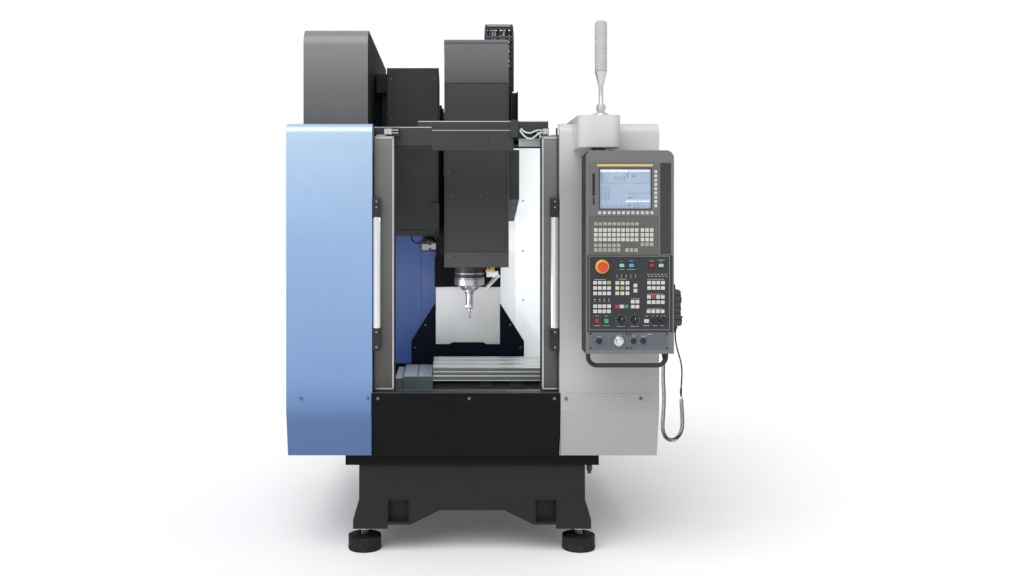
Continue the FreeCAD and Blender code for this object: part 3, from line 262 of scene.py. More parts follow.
def brushed(name, color, rough, along, metal=1.0, scratch=0.22):
    """Brushed or ground metal; along is the axis that the grinding lines follow."""
    made = Nodes(name)
    stretch = [260.0, 260.0, 260.0]
    stretch["xyz".index(along)] = 3.0
    lines = made.noise(6, 4, tuple(stretch), 0.7)
    wide = made.noise(5, 4)
    tone = made.mix(made.remap(lines, 0, 1), shade(color, 0.86), shade(color, 1.1))
    stain = made.remap(wide, 0, 0.5, 0.5, 0.8)
    made.link(made.mix(stain, tone, shade(color, 0.8)), "Base Color")
    made.link(made.remap(lines, rough - 0.07, rough + 0.12), "Roughness")
    made.bump(lines, scratch, 0.0006)
    made.shader.inputs["Metallic"].default_value = metal
    made.shader.inputs["Anisotropic"].default_value = 0.4
    return made.material


def metallic_paint(name, color, rough=0.36, sparkle=0.5):
    """Metallic lacquer: flakes that glint under a clear coat, with a faint orange peel. Height stops, where
    given, paint in light and shade.
    """
    made = Nodes(name)
    flakes = made.tree.nodes.new("ShaderNodeTexVoronoi")
    flakes.inputs["Scale"].default_value = 1500
    made.tree.links.new(made.place, flakes.inputs["Vector"])
    glint = made.remap(flakes.outputs["Distance"], 0, 1, 0.1, 0.6)
    base = made.graded(color) if isinstance(color[0], tuple) else color
    tone = made.scaled(base, made.remap(made.noise(1.6, 3), 0.96, 1.04))
    made.link(made.scaled(tone, made.remap(glint, 1, 1 - 0.14 * sparkle, 0, 1)), "Base Color")
    made.link(made.remap(made.noise(20, 4), rough - 0.04, rough + 0.06), "Roughness")
    made.bump(made.noise(230, 2), 0.06, 0.0008)
    made.shader.inputs["Metallic"].default_value = 0.25
    made.shader.inputs["Coat Weight"].default_value = 0.35
    made.shader.inputs["Coat Roughness"].default_value = 0.16
    return made.material


def clear(name, color, rough=0.03, grey=0.12):
    """Window pane: clear sheet with a faint haze of wiped coolant."""
    made = Nodes(name)
    haze = made.noise(26, 6, (1, 1, 0.35), 0.7)
    made.link(made.mix(made.remap(haze, 0, 1), color, shade(color, 1 - grey)), "Base Color")
    made.link(made.remap(haze, rough, rough + 0.12), "Roughness")
    made.shader.inputs["Transmission Weight"].default_value = 0.92
    made.shader.inputs["IOR"].default_value = 1.49
    return made.material


def lens(name, color, glow=0.12):
    """Moulded translucent lens with vertical ribs."""
    made = Nodes(name)
    ribs = made.tree.nodes.new("ShaderNodeTexWave")
    ribs.bands_direction = "X"
    ribs.inputs["Scale"].default_value = 90
    ribs.inputs["Distortion"].default_value = 0.4
    made.tree.links.new(made.place, ribs.inputs["Vector"])
    tone = made.mix(made.remap(ribs.outputs["Fac"], 0, 1), shade(color, 0.9), color)
    made.link(tone, "Base Color")
    made.link(tone, "Emission Color")
    made.shader.inputs["Emission Strength"].default_value = glow
    made.shader.inputs["Subsurface Weight"].default_value = 0.2
    made.shader.inputs["Subsurface Radius"].default_value = (0.01, 0.01, 0.01)
    made.shader.inputs["Transmission Weight"].default_value = 0.25
    made.link(made.remap(made.noise(60, 3), 0.18, 0.3), "Roughness")
    made.bump(ribs.outputs["Fac"], 0.3, 0.002)
    return made.material


def glow(name, color, strength, vary=0.12):
    """Lit display or lamp cap: an even light with faint cells behind it."""
    made = Nodes(name)
    cells = made.noise(70, 4)
    tone = made.mix(made.remap(cells, 0, 1), shade(color, 1 - vary), shade(color, 1 + vary))
    made.link(tone, "Base Color")
    made.link(tone, "Emission Color")
    made.shader.inputs["Emission Strength"].default_value = strength
    made.link(made.remap(cells, 0.18, 0.3), "Roughness")
    return made.material


def screen_face():
    """Display: cool grey-blue that drifts in tone, with the faint rows of its picture."""
    made = Nodes("screen_face")
    rows = made.tree.nodes.new("ShaderNodeTexWave")
    rows.bands_direction = "Z"
    rows.inputs["Scale"].default_value = 160
    made.tree.links.new(made.place, rows.inputs["Vector"])
    drift = made.noise(9, 3)
    tone = made.mix(made.remap(drift, 0, 1), (0.27, 0.36, 0.50), (0.36, 0.44, 0.53))
    made.link(made.mix(made.remap(rows.outputs["Fac"], 0, 0.10), tone, (0.2, 0.26, 0.36)),
              "Base Color")
    made.link(tone, "Emission Color")
    made.shader.inputs["Emission Strength"].default_value = 0.12
    made.link(made.remap(drift, 0.12, 0.2), "Roughness")
    return made.material


def palette():
    """Makes every material of the machine, under the name that the pieces ask for."""
    for name, color, rough, keys in PAINTS:
        PAINT[name] = surface(name, color, rough, **keys)
    PAINT["blue"] = metallic_paint("blue_lacquer", BLUE_PAINTED_LIGHT_STOPS)
    PAINT["bronze"] = metallic_paint("bronze_anodised", DOOR_PAINTED_LIGHT_STOPS, 0.34, 0.6)
    PAINT["casting"] = cast_paint("casting_charcoal", (0.0155, 0.0158, 0.016), 0.55)
    PAINT["iron"] = cast_paint("iron_grey", (0.11, 0.115, 0.12), 0.45)
    PAINT["ground"] = brushed("ground_steel", (0.54, 0.56, 0.56), 0.36, "x", 0.75)
    PAINT["cover_steel"] = brushed("way_cover_steel", (0.36, 0.41, 0.44), 0.42, "y", 0.4)
    PAINT["sheet_steel"] = brushed("shield_steel", (0.60, 0.61, 0.62), 0.42, "x")
    PAINT["steel"] = brushed("turned_steel", (0.36, 0.37, 0.38), 0.3, "z", 0.9, 0.1)
    PAINT["nose_steel"] = brushed("nose_steel", (0.50, 0.50, 0.51), 0.34, "z", 0.8, 0.1)
    PAINT["screw_dark"] = brushed("screw_dark", (0.17, 0.175, 0.18), 0.4, "x", 0.8)
    PAINT["screw_steel"] = brushed("screw_steel", (0.5, 0.5, 0.51), 0.3, "x")
    PAINT["alloy"] = brushed("alloy_tube", (0.80, 0.81, 0.82), 0.30, "z", 0.6)
    PAINT["rail_bronze"] = brushed("rail_bronze", (0.52, 0.45, 0.36), 0.32, "x", 0.9)
    PAINT["window"] = clear("door_pane", (0.86, 0.90, 0.90))
    PAINT["lamp_lens"] = lens("lamp_lens", (0.62, 0.62, 0.61), 0.04)
    PAINT["screen"] = screen_face()
    PAINT["light_bar"] = glow("light_bar", (0.72, 0.74, 0.82), 0.2)
    PAINT["grey_bar"] = glow("grey_bar", (0.16, 0.19, 0.30), 0.1)
    PAINT["green_lamp"] = glow("green_lamp", (0.24, 0.46, 0.35), 0.08)
    PAINT["blue_lamp"] = glow("blue_lamp", (0.06, 0.28, 0.46), 0.10)
    PAINT["red_lamp"] = glow("red_lamp", (0.34, 0.014, 0.03), 0.05)


# Blue lacquer darkens towards the floor and brightens towards the top: painted light and shade.
BLUE_PAINTED_LIGHT_STOPS = ((0.44, (0.068, 0.135, 0.31)), (0.60, (0.076, 0.147, 0.335)), (0.70, (0.13, 0.24, 0.47)),
              (0.78, (0.17, 0.295, 0.545)), (1.34, (0.273, 0.43, 0.70)), (1.80, (0.43, 0.60, 0.80)),
              (1.88, (0.50, 0.66, 0.85)))
# Light grey paint, darker low down and brighter near the top: painted light and shade.
GREY_PAINTED_LIGHT_STOPS = tuple((height, (tone, tone * 1.005, tone * 1.01)) for height, tone in (
    (0.44, 0.35), (0.70, 0.38), (0.78, 0.43), (1.30, 0.37), (1.60, 0.38), (1.78, 0.55), (1.88, 0.60)))
# Door frames dark at the bottom and brighter towards the top: painted light and shade.
DOOR_PAINTED_LIGHT_STOPS = tuple((height, (tone, tone * 0.985, tone * 0.94)) for height, tone in (
    (0.72, 0.055), (0.95, 0.085), (1.25, 0.125), (1.60, 0.155), (1.78, 0.20), (1.84, 0.26)))
# Head covers: a tone for each panel between the seams, and painted light brightening the upper panel
# towards the top.
HEAD_TONES_AND_PAINTED_LIGHT_STOPS = tuple((height, (tone, tone * 1.02, tone * 1.06)) for height, tone in (
    (1.23, 0.056), (1.312, 0.052), (1.316, 0.038), (1.60, 0.030), (2.100, 0.048), (2.108, 0.085),
    (2.20, 0.125), (2.31, 0.155)))
# Magazine cover brightens towards its curved top: painted light.
MAGAZINE_PAINTED_LIGHT_STOPS = tuple((height, (tone, tone, tone * 1.02)) for height, tone in (
    (1.88, 0.095), (2.05, 0.13), (2.20, 0.195), (2.33, 0.23)))

PAINTS = [
    ("light", GREY_PAINTED_LIGHT_STOPS, 0.36, dict(coat=0.2, vary=0.02, bump=0.05, grain=240)),
    # The white inner guard glows a little: painted light on its face.
    ("white_inner", (0.88, 0.91, 0.92), 0.4, dict(vary=0.02, bump=0.05, grain=240, lit=0.25)),
    ("blue_inner", (0.075, 0.17, 0.52), 0.34, dict(coat=0.2, vary=0.06, bump=0.06, grain=240)),
    ("charcoal", (0.032, 0.033, 0.034), 0.5, dict(vary=0.08, bump=0.22, grain=700, spec=0.25)),
    ("head_paint", HEAD_TONES_AND_PAINTED_LIGHT_STOPS, 0.46, dict(vary=0.05, bump=0.2, grain=700, spec=0.3)),
    ("slate", (0.040, 0.043, 0.048), 0.45, dict(vary=0.08, bump=0.2, grain=700, spec=0.3)),
    # Near-black for the magazine's right side: painted shade on the side turned away from the light.
    ("magazine_side", (0.017, 0.017, 0.018), 0.65, dict(vary=0.08, bump=0.2, grain=700, spec=0.1)),
    ("magazine", MAGAZINE_PAINTED_LIGHT_STOPS, 0.36, dict(coat=0.15, vary=0.05, bump=0.1, grain=500)),
    ("black", (0.0055, 0.0058, 0.006), 0.5, dict(vary=0.1, bump=0.12, grain=600, spec=0.1)),
    # Near-black navy of the column apron: painted shade behind the table.
    ("navy", (0.0035, 0.0055, 0.012), 0.45, dict(vary=0.12, bump=0.1, grain=400, spec=0.06)),
    ("feet", (0.012, 0.012, 0.013), 0.6, dict(vary=0.2, bump=0.4, grain=300, dust=0.1, spec=0.2)),
    ("header", (0.044, 0.0455, 0.047), 0.42, dict(vary=0.07, bump=0.15, grain=600, spec=0.3)),
    ("seam", (0.004, 0.004, 0.0045), 0.6, dict(vary=0.2, bump=0.1, grain=900)),
    # Light strips: painted highlights along the header folds and door edges, and light trim on the table.
    ("edge_light", (0.46, 0.48, 0.48), 0.35, dict(vary=0.05, bump=0.05, grain=900)),
    ("rubber", (0.012, 0.012, 0.012), 0.62, dict(vary=0.15, bump=0.3, grain=1600)),
    ("plastic", (0.016, 0.016, 0.018), 0.42, dict(vary=0.1, bump=0.25, grain=2200)),
    ("skirt_green", (0.085, 0.105, 0.105), 0.4, dict(vary=0.08, bump=0.1, grain=900, metal=0.3)),
    ("pulse_grey", (0.045, 0.045, 0.047), 0.42, dict(vary=0.08, bump=0.25, grain=2200)),
    ("chain", (0.020, 0.0205, 0.022), 0.45, dict(vary=0.15, bump=0.2, grain=1500)),
    ("panel_grey", (0.155, 0.155, 0.158), 0.44, dict(vary=0.04, bump=0.35, grain=1800)),
    ("panel_side", (0.028, 0.028, 0.029), 0.5, dict(vary=0.05, bump=0.35, grain=1800, spec=0.2)),
    ("panel_bezel", (0.135, 0.133, 0.137), 0.4, dict(vary=0.04, bump=0.25, grain=2200)),
    ("panel_keys_bed", (0.105, 0.104, 0.100), 0.46, dict(vary=0.05, bump=0.25, grain=2200)),
    ("panel_dark", (0.034, 0.035, 0.040), 0.42, dict(vary=0.06, bump=0.2, grain=2200, spec=0.3)),
    ("panel_plate", (0.105, 0.125, 0.150), 0.34, dict(vary=0.06, bump=0.1, grain=1500, metal=0.3)),
    ("strip_dark", (0.032, 0.034, 0.037), 0.3, dict(vary=0.06, bump=0.1, grain=1500, coat=0.3)),
    ("key_white", (0.62, 0.61, 0.59), 0.42, dict(vary=0.04, bump=0.1, grain=2500)),
    ("key_beige", (0.40, 0.38, 0.33), 0.42, dict(vary=0.05, bump=0.1, grain=2500)),
    ("key_lime", (0.44, 0.46, 0.13), 0.42, dict(vary=0.05, bump=0.1, grain=2500)),
    ("key_red", (0.45, 0.035, 0.06), 0.4, dict(vary=0.05, bump=0.1, grain=2500)),
    ("key_green", (0.10, 0.27, 0.19), 0.4, dict(vary=0.05, bump=0.1, grain=2500)),
    ("mark", (0.58, 0.58, 0.58), 0.5, dict(vary=0.08, bump=0.05, grain=2500)),
    ("mark_dark", (0.06, 0.06, 0.06), 0.5, dict(vary=0.1, bump=0.05, grain=2500)),
    ("yellow", (0.72, 0.40, 0.035), 0.32, dict(vary=0.04, bump=0.05, grain=2000, coat=0.3)),
    ("stop_red", (0.66, 0.045, 0.022), 0.28, dict(vary=0.04, bump=0.04, grain=2000, coat=0.5)),
    ("start_green", (0.04, 0.30, 0.13), 0.3, dict(vary=0.06, bump=0.05, grain=2000, coat=0.4)),
    ("hold_red", (0.30, 0.008, 0.03), 0.3, dict(vary=0.06, bump=0.05, grain=2000, coat=0.4)),
    ("chrome", (0.66, 0.67, 0.69), 0.1, dict(metal=1.0, vary=0.03, bump=0.03, grain=900)),
    ("hose_blue", (0.03, 0.10, 0.36), 0.4, dict(vary=0.08, bump=0.1, grain=1500)),
    ("hose_grey", (0.30, 0.30, 0.31), 0.45, dict(vary=0.08, bump=0.1, grain=1500)),
    ("brass", (0.55, 0.38, 0.14), 0.28, dict(metal=1.0, vary=0.05, bump=0.05, grain=900)),
    ("lamp_metal", (0.60, 0.61, 0.62), 0.3, dict(metal=0.5, vary=0.03, bump=0.05, grain=900)),
    ("yellow_stripe", (0.62, 0.52, 0.16), 0.4, dict(vary=0.05, bump=0.05, grain=2000)),
    ("panel_line", (0.27, 0.28, 0.29), 0.45, dict(vary=0.05, bump=0.05, grain=2000)),
    ("cable_white", (0.70, 0.71, 0.71), 0.42, dict(vary=0.04, bump=0.05, grain=1500)),
]


# ---------------------------------------------------------------- mesh building

class Shape:
    """Collects solids, given in millimetres, into one mesh piece."""

    def __init__(self):
        self.mesh = bmesh.new()
        self.slot = 0

    def faces(self, points, polygons):
        verts = [self.mesh.verts.new(Vector(point) * MM) for point in points]
        for polygon in polygons:
            try:
                self.mesh.faces.new([verts[index] for index in polygon]).material_index = self.slot
            except ValueError:
                pass
        return self

    def box(self, x, y, z):
        points = [(a, b, c) for a in x for b in y for c in z]
        return self.faces(points, [(0, 1, 3, 2), (4, 6, 7, 5), (0, 4, 5, 1), (2, 3, 7, 6),
                                   (0, 2, 6, 4), (1, 5, 7, 3)])

    def rings(self, rings, closed_ends=True, loop=False):
        """Skins a list of rings, each a list of as many points."""
        count = len(rings[0])
        points = [point for ring in rings for point in ring]
        polygons = []
        pairs = list(zip(range(len(rings)), range(1, len(rings))))
        if loop:
            pairs.append((len(rings) - 1, 0))
        for low, high in pairs:
            for step in range(count):
                after = (step + 1) % count
                polygons.append((low * count + step, low * count + after,
                                 high * count + after, high * count + step))
        if closed_ends and not loop:
            polygons.append(tuple(reversed(range(count))))
            polygons.append(tuple((len(rings) - 1) * count + step for step in range(count)))
        return self.faces(points, polygons)

    def lathe(self, profile, centre, axis="z", sides=32, hexagon=()):
        """Turns (radius, height) pairs round an axis; rings in hexagon are six-sided."""
        rings = []
        for index, (radius, height) in enumerate(profile):
            ring = []
            for step in range(sides):
                angle = 2 * math.pi * step / sides
                reach = radius
                if index in hexagon:
                    reach = radius / math.cos((angle + math.pi / 6) % (math.pi / 3) - math.pi / 6)
                u, v = reach * math.cos(angle), reach * math.sin(angle)
                offset = {"x": (height, u, v), "y": (v, height, u), "z": (u, v, height)}[axis]
                ring.append(tuple(a + b for a, b in zip(centre, offset)))
            rings.append(ring)
        return self.rings(rings)

    def rod(self, axis, radius, centre, low, high, edge=0.6, sides=24):
        """A rod with chamfered ends; centre is a full point and low, high are along the axis."""
        centre = list(centre)
        centre["xyz".index(axis)] = 0
        edge = min(edge, radius * 0.4, abs(high - low) * 0.4)
        return self.lathe([(radius - edge, low), (radius, low + edge), (radius, high - edge),
                           (radius - edge, high)], centre, axis, sides)

    def prism(self, axis, outline, low, high):
        """An outline of two coordinates, in X, Y, Z order, drawn out along the axis."""
        place = "xyz".index(axis)
        rings = []
        for where in (low, high):
            ring = []
            for point in outline:
                full = list(point)
                full.insert(place, where)
                ring.append(tuple(full))
            rings.append(ring)
        return self.rings(rings)

    def tube(self, points, radius, sides=12, taper=None):
        """A round tube along a list of points, which may taper to a second radius."""
        points = [Vector(point) for point in points]
        rings = []
        side = None
        for index, point in enumerate(points):
            ahead = points[min(index + 1, len(points) - 1)] - points[max(index - 1, 0)]
            ahead.normalize()
            if side is None:
                side = ahead.orthogonal().normalized()
            side = (side - ahead * side.dot(ahead)).normalized()
            other = ahead.cross(side)
            share = index / (len(points) - 1)
            reach = radius if taper is None else radius + (taper - radius) * share
            rings.append([tuple(point + side * (reach * math.cos(2 * math.pi * step / sides))
                                + other * (reach * math.sin(2 * math.pi * step / sides)))
                          for step in range(sides)])
        return self.rings(rings)

    def screw(self, place, axis, radius, high, sign=1):
        """A socket-head or button-head screw with a hexagonal socket."""
        inner = radius * 0.42
        profile = [(radius, 0), (radius, high * 0.72), (radius * 0.84, high),
                   (inner, high), (inner, high * 0.35)]
        return self.lathe([(r, h * sign) for r, h in profile], place, axis, 24, (3, 4))


def finish_piece(shape, name, body, materials, bevel=0.8, angle=35, segments=2):
    """Turns a Shape into an object that rides on a body, with its edges eased.

    materials is one name from PAINT or a list of them; bevel is in millimetres."""
    bmesh.ops.recalc_face_normals(shape.mesh, faces=shape.mesh.faces[:])
    data = bpy.data.meshes.new(name)
    shape.mesh.to_mesh(data)
    shape.mesh.free()
    piece = bpy.data.objects.new(name, data)
    bpy.context.scene.collection.objects.link(piece)
    add_paints(data, materials)
    ease(piece, bevel, angle, segments)
    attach(piece, body)
    return piece


def mirrored(side, near, far):
    """A stretch of X on one side of the machine, side being -1 or 1."""
    return sorted((side * near, side * far))


def turned(levels, sides, notch, place):
    """Rings from (radius, height) levels; notch says how deep a step is cut into a ring."""
    return [[place(radius - notch(step, radius), 2 * math.pi * step / sides, height)
             for step in range(sides)] for radius, height in levels]


def add_paints(data, names):
    """Gives a mesh the materials of one name, or of a list of names in slot order."""
    for name in [names] if isinstance(names, str) else names:
        data.materials.append(PAINT[name])


def ease(piece, bevel, angle=35, segments=2):
    """Smooth shading, sharp corners past an angle in degrees, and a bevel in millimetres."""
    piece.data.shade_smooth()
    piece.data.set_sharp_from_angle(angle=math.radians(angle))
    if bevel:
        rounding = piece.modifiers.new("rounding", "BEVEL")
        rounding.width, rounding.segments = bevel * MM, segments
        rounding.limit_method, rounding.angle_limit = "ANGLE", math.radians(angle)
        rounding.harden_normals = True
        rounding.use_clamp_overlap = True


def refined(node, bevel, materials, choose=None, slivers=1.0, keep=None):
    """A finished copy of a CAD node: its faces joined up, its edges eased, in its materials.

    choose gives a face's material index from its centre and normal, in millimetres.
    keep tells which faces stay, by their centre."""
    source = NODES[node]
    mesh = bmesh.new()
    mesh.from_mesh(source.data)
    bmesh.ops.remove_doubles(mesh, verts=mesh.verts[:], dist=0.00002)
    if keep:
        gone = [face for face in mesh.faces if not keep(face.calc_center_median() / MM)]
        bmesh.ops.delete(mesh, geom=gone, context="FACES")
    bmesh.ops.dissolve_limit(mesh, angle_limit=math.radians(slivers), verts=mesh.verts[:],
                             edges=mesh.edges[:])
    for face in mesh.faces:
        face.material_index = 0
        if choose:
            face.material_index = choose(face.calc_center_median() / MM, face.normal)
    data = bpy.data.meshes.new(node + "_skin")
    mesh.to_mesh(data)
    mesh.free()
    piece = bpy.data.objects.new(node + "_skin", data)
    bpy.context.scene.collection.objects.link(piece)
    add_paints(data, materials)
    ease(piece, bevel)
    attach(piece, source["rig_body"])
    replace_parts(piece, node)
    return piece


def islands(node):
    """The box of each separate solid in a CAD node, in millimetres."""
    mesh = bmesh.new()
    mesh.from_mesh(NODES[node].data)
    bmesh.ops.remove_doubles(mesh, verts=mesh.verts[:], dist=0.00002)
    boxes, seen = [], set()
    for start in mesh.verts:
        if start in seen:
            continue
        stack, found = [start], []
        seen.add(start)
        while stack:
            vert = stack.pop()
            found.append(vert.co / MM)
            for edge in vert.link_edges:
                other = edge.other_vert(vert)
                if other not in seen:
                    seen.add(other)
                    stack.append(other)
        boxes.append((Vector([min(p[i] for p in found) for i in range(3)]),
                      Vector([max(p[i] for p in found) for i in range(3)])))
    mesh.free()
    return boxes


def middle_of(low, high):
    """X and Z of the point halfway between two corners."""
    return (low.x + high.x) / 2, (low.z + high.z) / 2


def corners(node):
    """Lowest and highest corners of a CAD node, in millimetres."""
    low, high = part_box(node)
    return low / MM, high / MM


# ---------------------------------------------------------------- cords

LEAD_ROUTE = ((0.827, -1.028, 1.021), (0.827, -1.028, 0.978), (0.836, -1.028, 0.934),
              (0.850, -1.028, 0.890), (0.856, -1.028, 0.846), (0.853, -1.028, 0.802),
              (0.851, -1.028, 0.760))
COIL_ROUTE = ((0.851, -1.028, 0.760), (0.853, -1.028, 0.705), (0.857, -1.028, 0.650),
              (0.855, -1.028, 0.598), (0.828, -1.028, 0.562), (0.793, -1.028, 0.564),
              (0.774, -1.028, 0.602), (0.777, -1.028, 0.656), (0.781, -1.028, 0.712),
              (0.780, -1.028, 0.768), (0.777, -1.028, 0.824), (0.778, -1.028, 0.875),
              (0.778, -1.028, 0.917))
LEAD_WIDE, WIRE_WIDE = 0.006, 0.0027
COIL_PITCH, COIL_RADIUS, COIL_TAIL = 0.0046, 0.0071, 0.03    # of the curled stretch, in metres
COIL_STEPS = 16                                              # points in each turn
TAIL_START, TAIL_STEP, TURN_HASTE = 0.006, 0.0009, 1.6       # where the curl opens out straight


def route_curve(name, route):
    data = bpy.data.curves.new(name, "CURVE")
    data.dimensions = "3D"
    spline = data.splines.new("NURBS")
    spline.points.add(len(route) - 1)
    for point, place in zip(spline.points, route):
        point.co = (*place, 1)
    spline.order_u = 3
    spline.use_endpoint_u = True
    data.resolution_u = 24
    piece = bpy.data.objects.new(name, data)
    bpy.context.scene.collection.objects.link(piece)
    return piece


def read_line(curve):
    """The points of a curve that has no bevel, in metres, with their distances along it."""
    bpy.context.view_layer.update()
    line = bpy.data.meshes.new_from_object(curve)
    points = [vert.co.copy() for vert in line.vertices]
    bpy.data.meshes.remove(line)
    along = [0.0]
    for before, after in zip(points, points[1:]):
        along.append(along[-1] + (after - before).length)
    return points, along


def helix_points(points, along):
    """Turns of a curled cord round its route, opening out to a straight tail at each end."""
    total = along[-1]
    found, reach, turn, segment = [], 0.0, 0.0, 0
    while reach < total:
        while segment < len(along) - 2 and along[segment + 1] < reach:
            segment += 1
        share = (reach - along[segment]) / (along[segment + 1] - along[segment])
        place = points[segment].lerp(points[segment + 1], share)
        ahead = (points[segment + 1] - points[segment]).normalized()
        side = Vector((0, 1, 0))
        across = ahead.cross(side).normalized()
        full = min(1.0, max(0.0, (min(reach, total - reach) - TAIL_START) / COIL_TAIL))
        full = full * full * (3 - 2 * full)
        radius = COIL_RADIUS * full
        found.append(place + side * (radius * math.cos(turn)) + across * (radius * math.sin(turn)))
        step = COIL_PITCH / COIL_STEPS + TAIL_STEP * (1 - full)
        reach += step
        slower = min(1.0, COIL_PITCH / COIL_STEPS / step * TURN_HASTE)
        turn += 2 * math.pi / COIL_STEPS * full * slower
    found.append(points[-1])
    return found


def cords():
    lead = route_curve("pulse_lead", LEAD_ROUTE)
    lead_along = read_line(lead)[1]
    lead.data.bevel_depth, lead.data.bevel_resolution = LEAD_WIDE / 2, 4
    lead.data.use_fill_caps = True
    lead.data.materials.append(PAINT["rubber"])
    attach(lead, "operator_panel")
    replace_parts(lead, "cord_lead")

    guide = route_curve("coil_guide", COIL_ROUTE)
    turns = helix_points(*read_line(guide))
    bpy.data.objects.remove(guide)
    coil = finish_piece(Shape().tube([point / MM for point in turns], WIRE_WIDE / 2 / MM, 8),
                        "curled_cord", "operator_panel", "rubber", 0, 60)
    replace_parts(coil, "curly_cord")

    sleeve = Shape().lathe([(2.2, 14), (4.4, 10), (4.6, -8), (3.0, -22)],
                           (851, -1028, 764), "z", 20)
    sleeve = finish_piece(sleeve, "cord_sleeve", "operator_panel", "rubber")
    reliefs = Shape()
    for x, top, wide, thin in ((827, 1030, 7.5, 3.6), (778, 922, 8.5, 2.8)):
        profile = [(wide, 0)]
        for ring in range(7):
            radius = wide + (thin - wide) * (ring + 1) / 7
            profile += [(radius, -4 * ring - 3), (radius * 0.84, -4 * ring - 3.6),
                        (radius * 0.84, -4 * ring - 4)]
        reliefs.lathe(profile, (x, -1028, top), "z", 20)
    finish_piece(reliefs, "strain_reliefs", "operator_panel", "rubber", 0.2)


# ---------------------------------------------------------------- carried-over nodes

def plain_skins():
    """CAD nodes whose shape stands as it is, with eased edges and their own finish."""
    table = [
        ("levelling_feet", 1.5, "feet"), ("column", 3, "casting"), ("fixed_rails", 0.8, "ground"),
        ("axis_motors", 1.5, "plastic"), ("left_front_panel", 1.2, "blue"),
        ("right_front_panel", 1.2, "light"), ("left_lower_panel", 1.2, "blue"),
        ("centre_lower_panel", 1.2, "black"), ("right_lower_panel", 1.2, "light"),
        ("left_inner_guard", 1.0, "blue_inner"), ("right_inner_guard", 1.0, "white_inner"),
        ("column_apron", 1.2, "navy"), ("chip_tray", 1.0, "slate"),
        ("tool_changer_housing", 1.5, "charcoal"),
        ("electrical_cabinet", 1.5, "light"), ("panel_arm", 3, "light"),
        ("left_door_frame", 2.5, "bronze"), ("right_door_frame", 2.5, "bronze"),
        ("left_door_window", 0.3, "window"), ("right_door_window", 0.3, "window"),
        ("saddle", 1.5, "iron"), ("table_covers", 0.8, "cover_steel"),
        ("x_screw", 0.4, "steel"), ("y_screw", 0.4, "steel"), ("z_screw", 0.4, "steel"),
        ("head_casting", 2.5, "casting"), ("spindle_housing", 1.5, "slate"),
        ("spindle_motor", 2, "plastic"), ("head_cover", 1.5, "head_paint"),
        ("spindle_shaft", 0.8, "steel"), ("tool_change_arm", 1.2, "slate"),
        ("z_shield", 0.5, "sheet_steel"), ("panel_handle", 0, "plastic"),
        ("magazine_disc", 0.6, "steel"), ("chain_back_run", 0.8, "chain"),
        ("chain_front_run", 0.8, "chain"),
    ]
    for node, bevel, finish in table:
        refined(node, bevel, finish)
    refined("side_panels", 1.2, ["blue", "light"],
            lambda centre, normal: 0 if centre.x < 0 else 1)
    refined("bed", 3, ["casting", "black"],
            lambda centre, normal: 1 if centre.z > 390 and centre.z < 445 else 0)
    refined("door_header", 1.2, ["header", "rail_bronze"],
            header_choice)
    refined("table", 0.8, ["ground", "iron"],
            lambda centre, normal: 0 if centre.z > 739 else 1)
    for side in ("left", "right"):
        refined(f"{side}_door_handle", 1.5, ["alloy", "plastic"],
                lambda centre, normal: 0 if 1001 < centre.z < 1478 and abs(normal.z) < 0.5 else 1)
    # Faces turned to +X on the magazine's right side take the painted shade.
    refined("magazine_cover", 1.5, ["magazine", "magazine_side"],
            lambda centre, normal: 1 if normal.x > 0.7 and centre.x > -475 else 0)


def header_choice(centre, normal):
    """The guide rail is bronze; the beams, the duct and the switch blocks are dark."""
    return 1 if centre.y > -705 and 1780 < centre.z < 1818 else 0


# ---------------------------------------------------------------- cabinet

def strips():
    """Lines where the cabinet's sheets meet, and the seals between them."""
    lines = Shape()
    for x in (-433, 375):
        lines.box((x - 1.2, x + 1.2), (-840.2, -838), (444, 722))
    for side in (-1, 1):
        lines.box((side * 799.4 - 0.7, side * 799.4 + 0.7), (-736.2, -733.8), (444, 1878))
    finish_piece(lines, "panel_joint_lines", "machine", "seam", 0)
    trim = Shape().box((-431, 373), (-839, -829), (721.5, 726))
    trim.box((-427, -425), (-797, -737), (727, 1866))
    trim.box((367, 369), (-797, -737), (727, 1866))
    finish_piece(trim, "sill_trim", "machine", "header", 0.6)


def screws():
    """Button-head screws of the sheets, and the larger ones on the skirts."""
    heads = Shape()
    for x in (-735, -450, -406, -15, 350, 400, 720):
        heads.screw((x, -843, 701), "y", 7, 3.5, -1)
    for side in (-1, 1):
        for y in (-560, -260, 60, 380, 660):
            for z in (480, 1840):
                heads.screw((side * 800, y, z), "x", 6, 3, side)
    heads = finish_piece(heads, "cabinet_screws", "machine", "screw_dark", 0.2)
    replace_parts(heads, "panel_screws")
    inner = Shape()
    for x in (-360, -250):
        for z in (1684, 1799):
            inner.screw((x, -280, z), "y", 4, 3, -1)
    for z in (1950, 2140):
        for x in (-380, -170):
            inner.screw((x, -280, z), "y", 4, 2.5, -1)
    for z in (1025, 1290, 1560):
        for y in (-520, -190, 130):
            inner.screw((-788, y, z), "x", 4.5, 3, 1)
            inner.screw((788, y, z), "x", 4.5, 3, -1)
        for x in (-700, -560, -420, -300):
            inner.screw((x, 327, z), "y", 4.5, 3, -1)
        for x in (300, 420, 560, 700):
            inner.screw((x, 327, z), "y", 4.5, 3, -1)
    finish_piece(inner, "guard_screws", "machine", "screw_dark", 0.2)


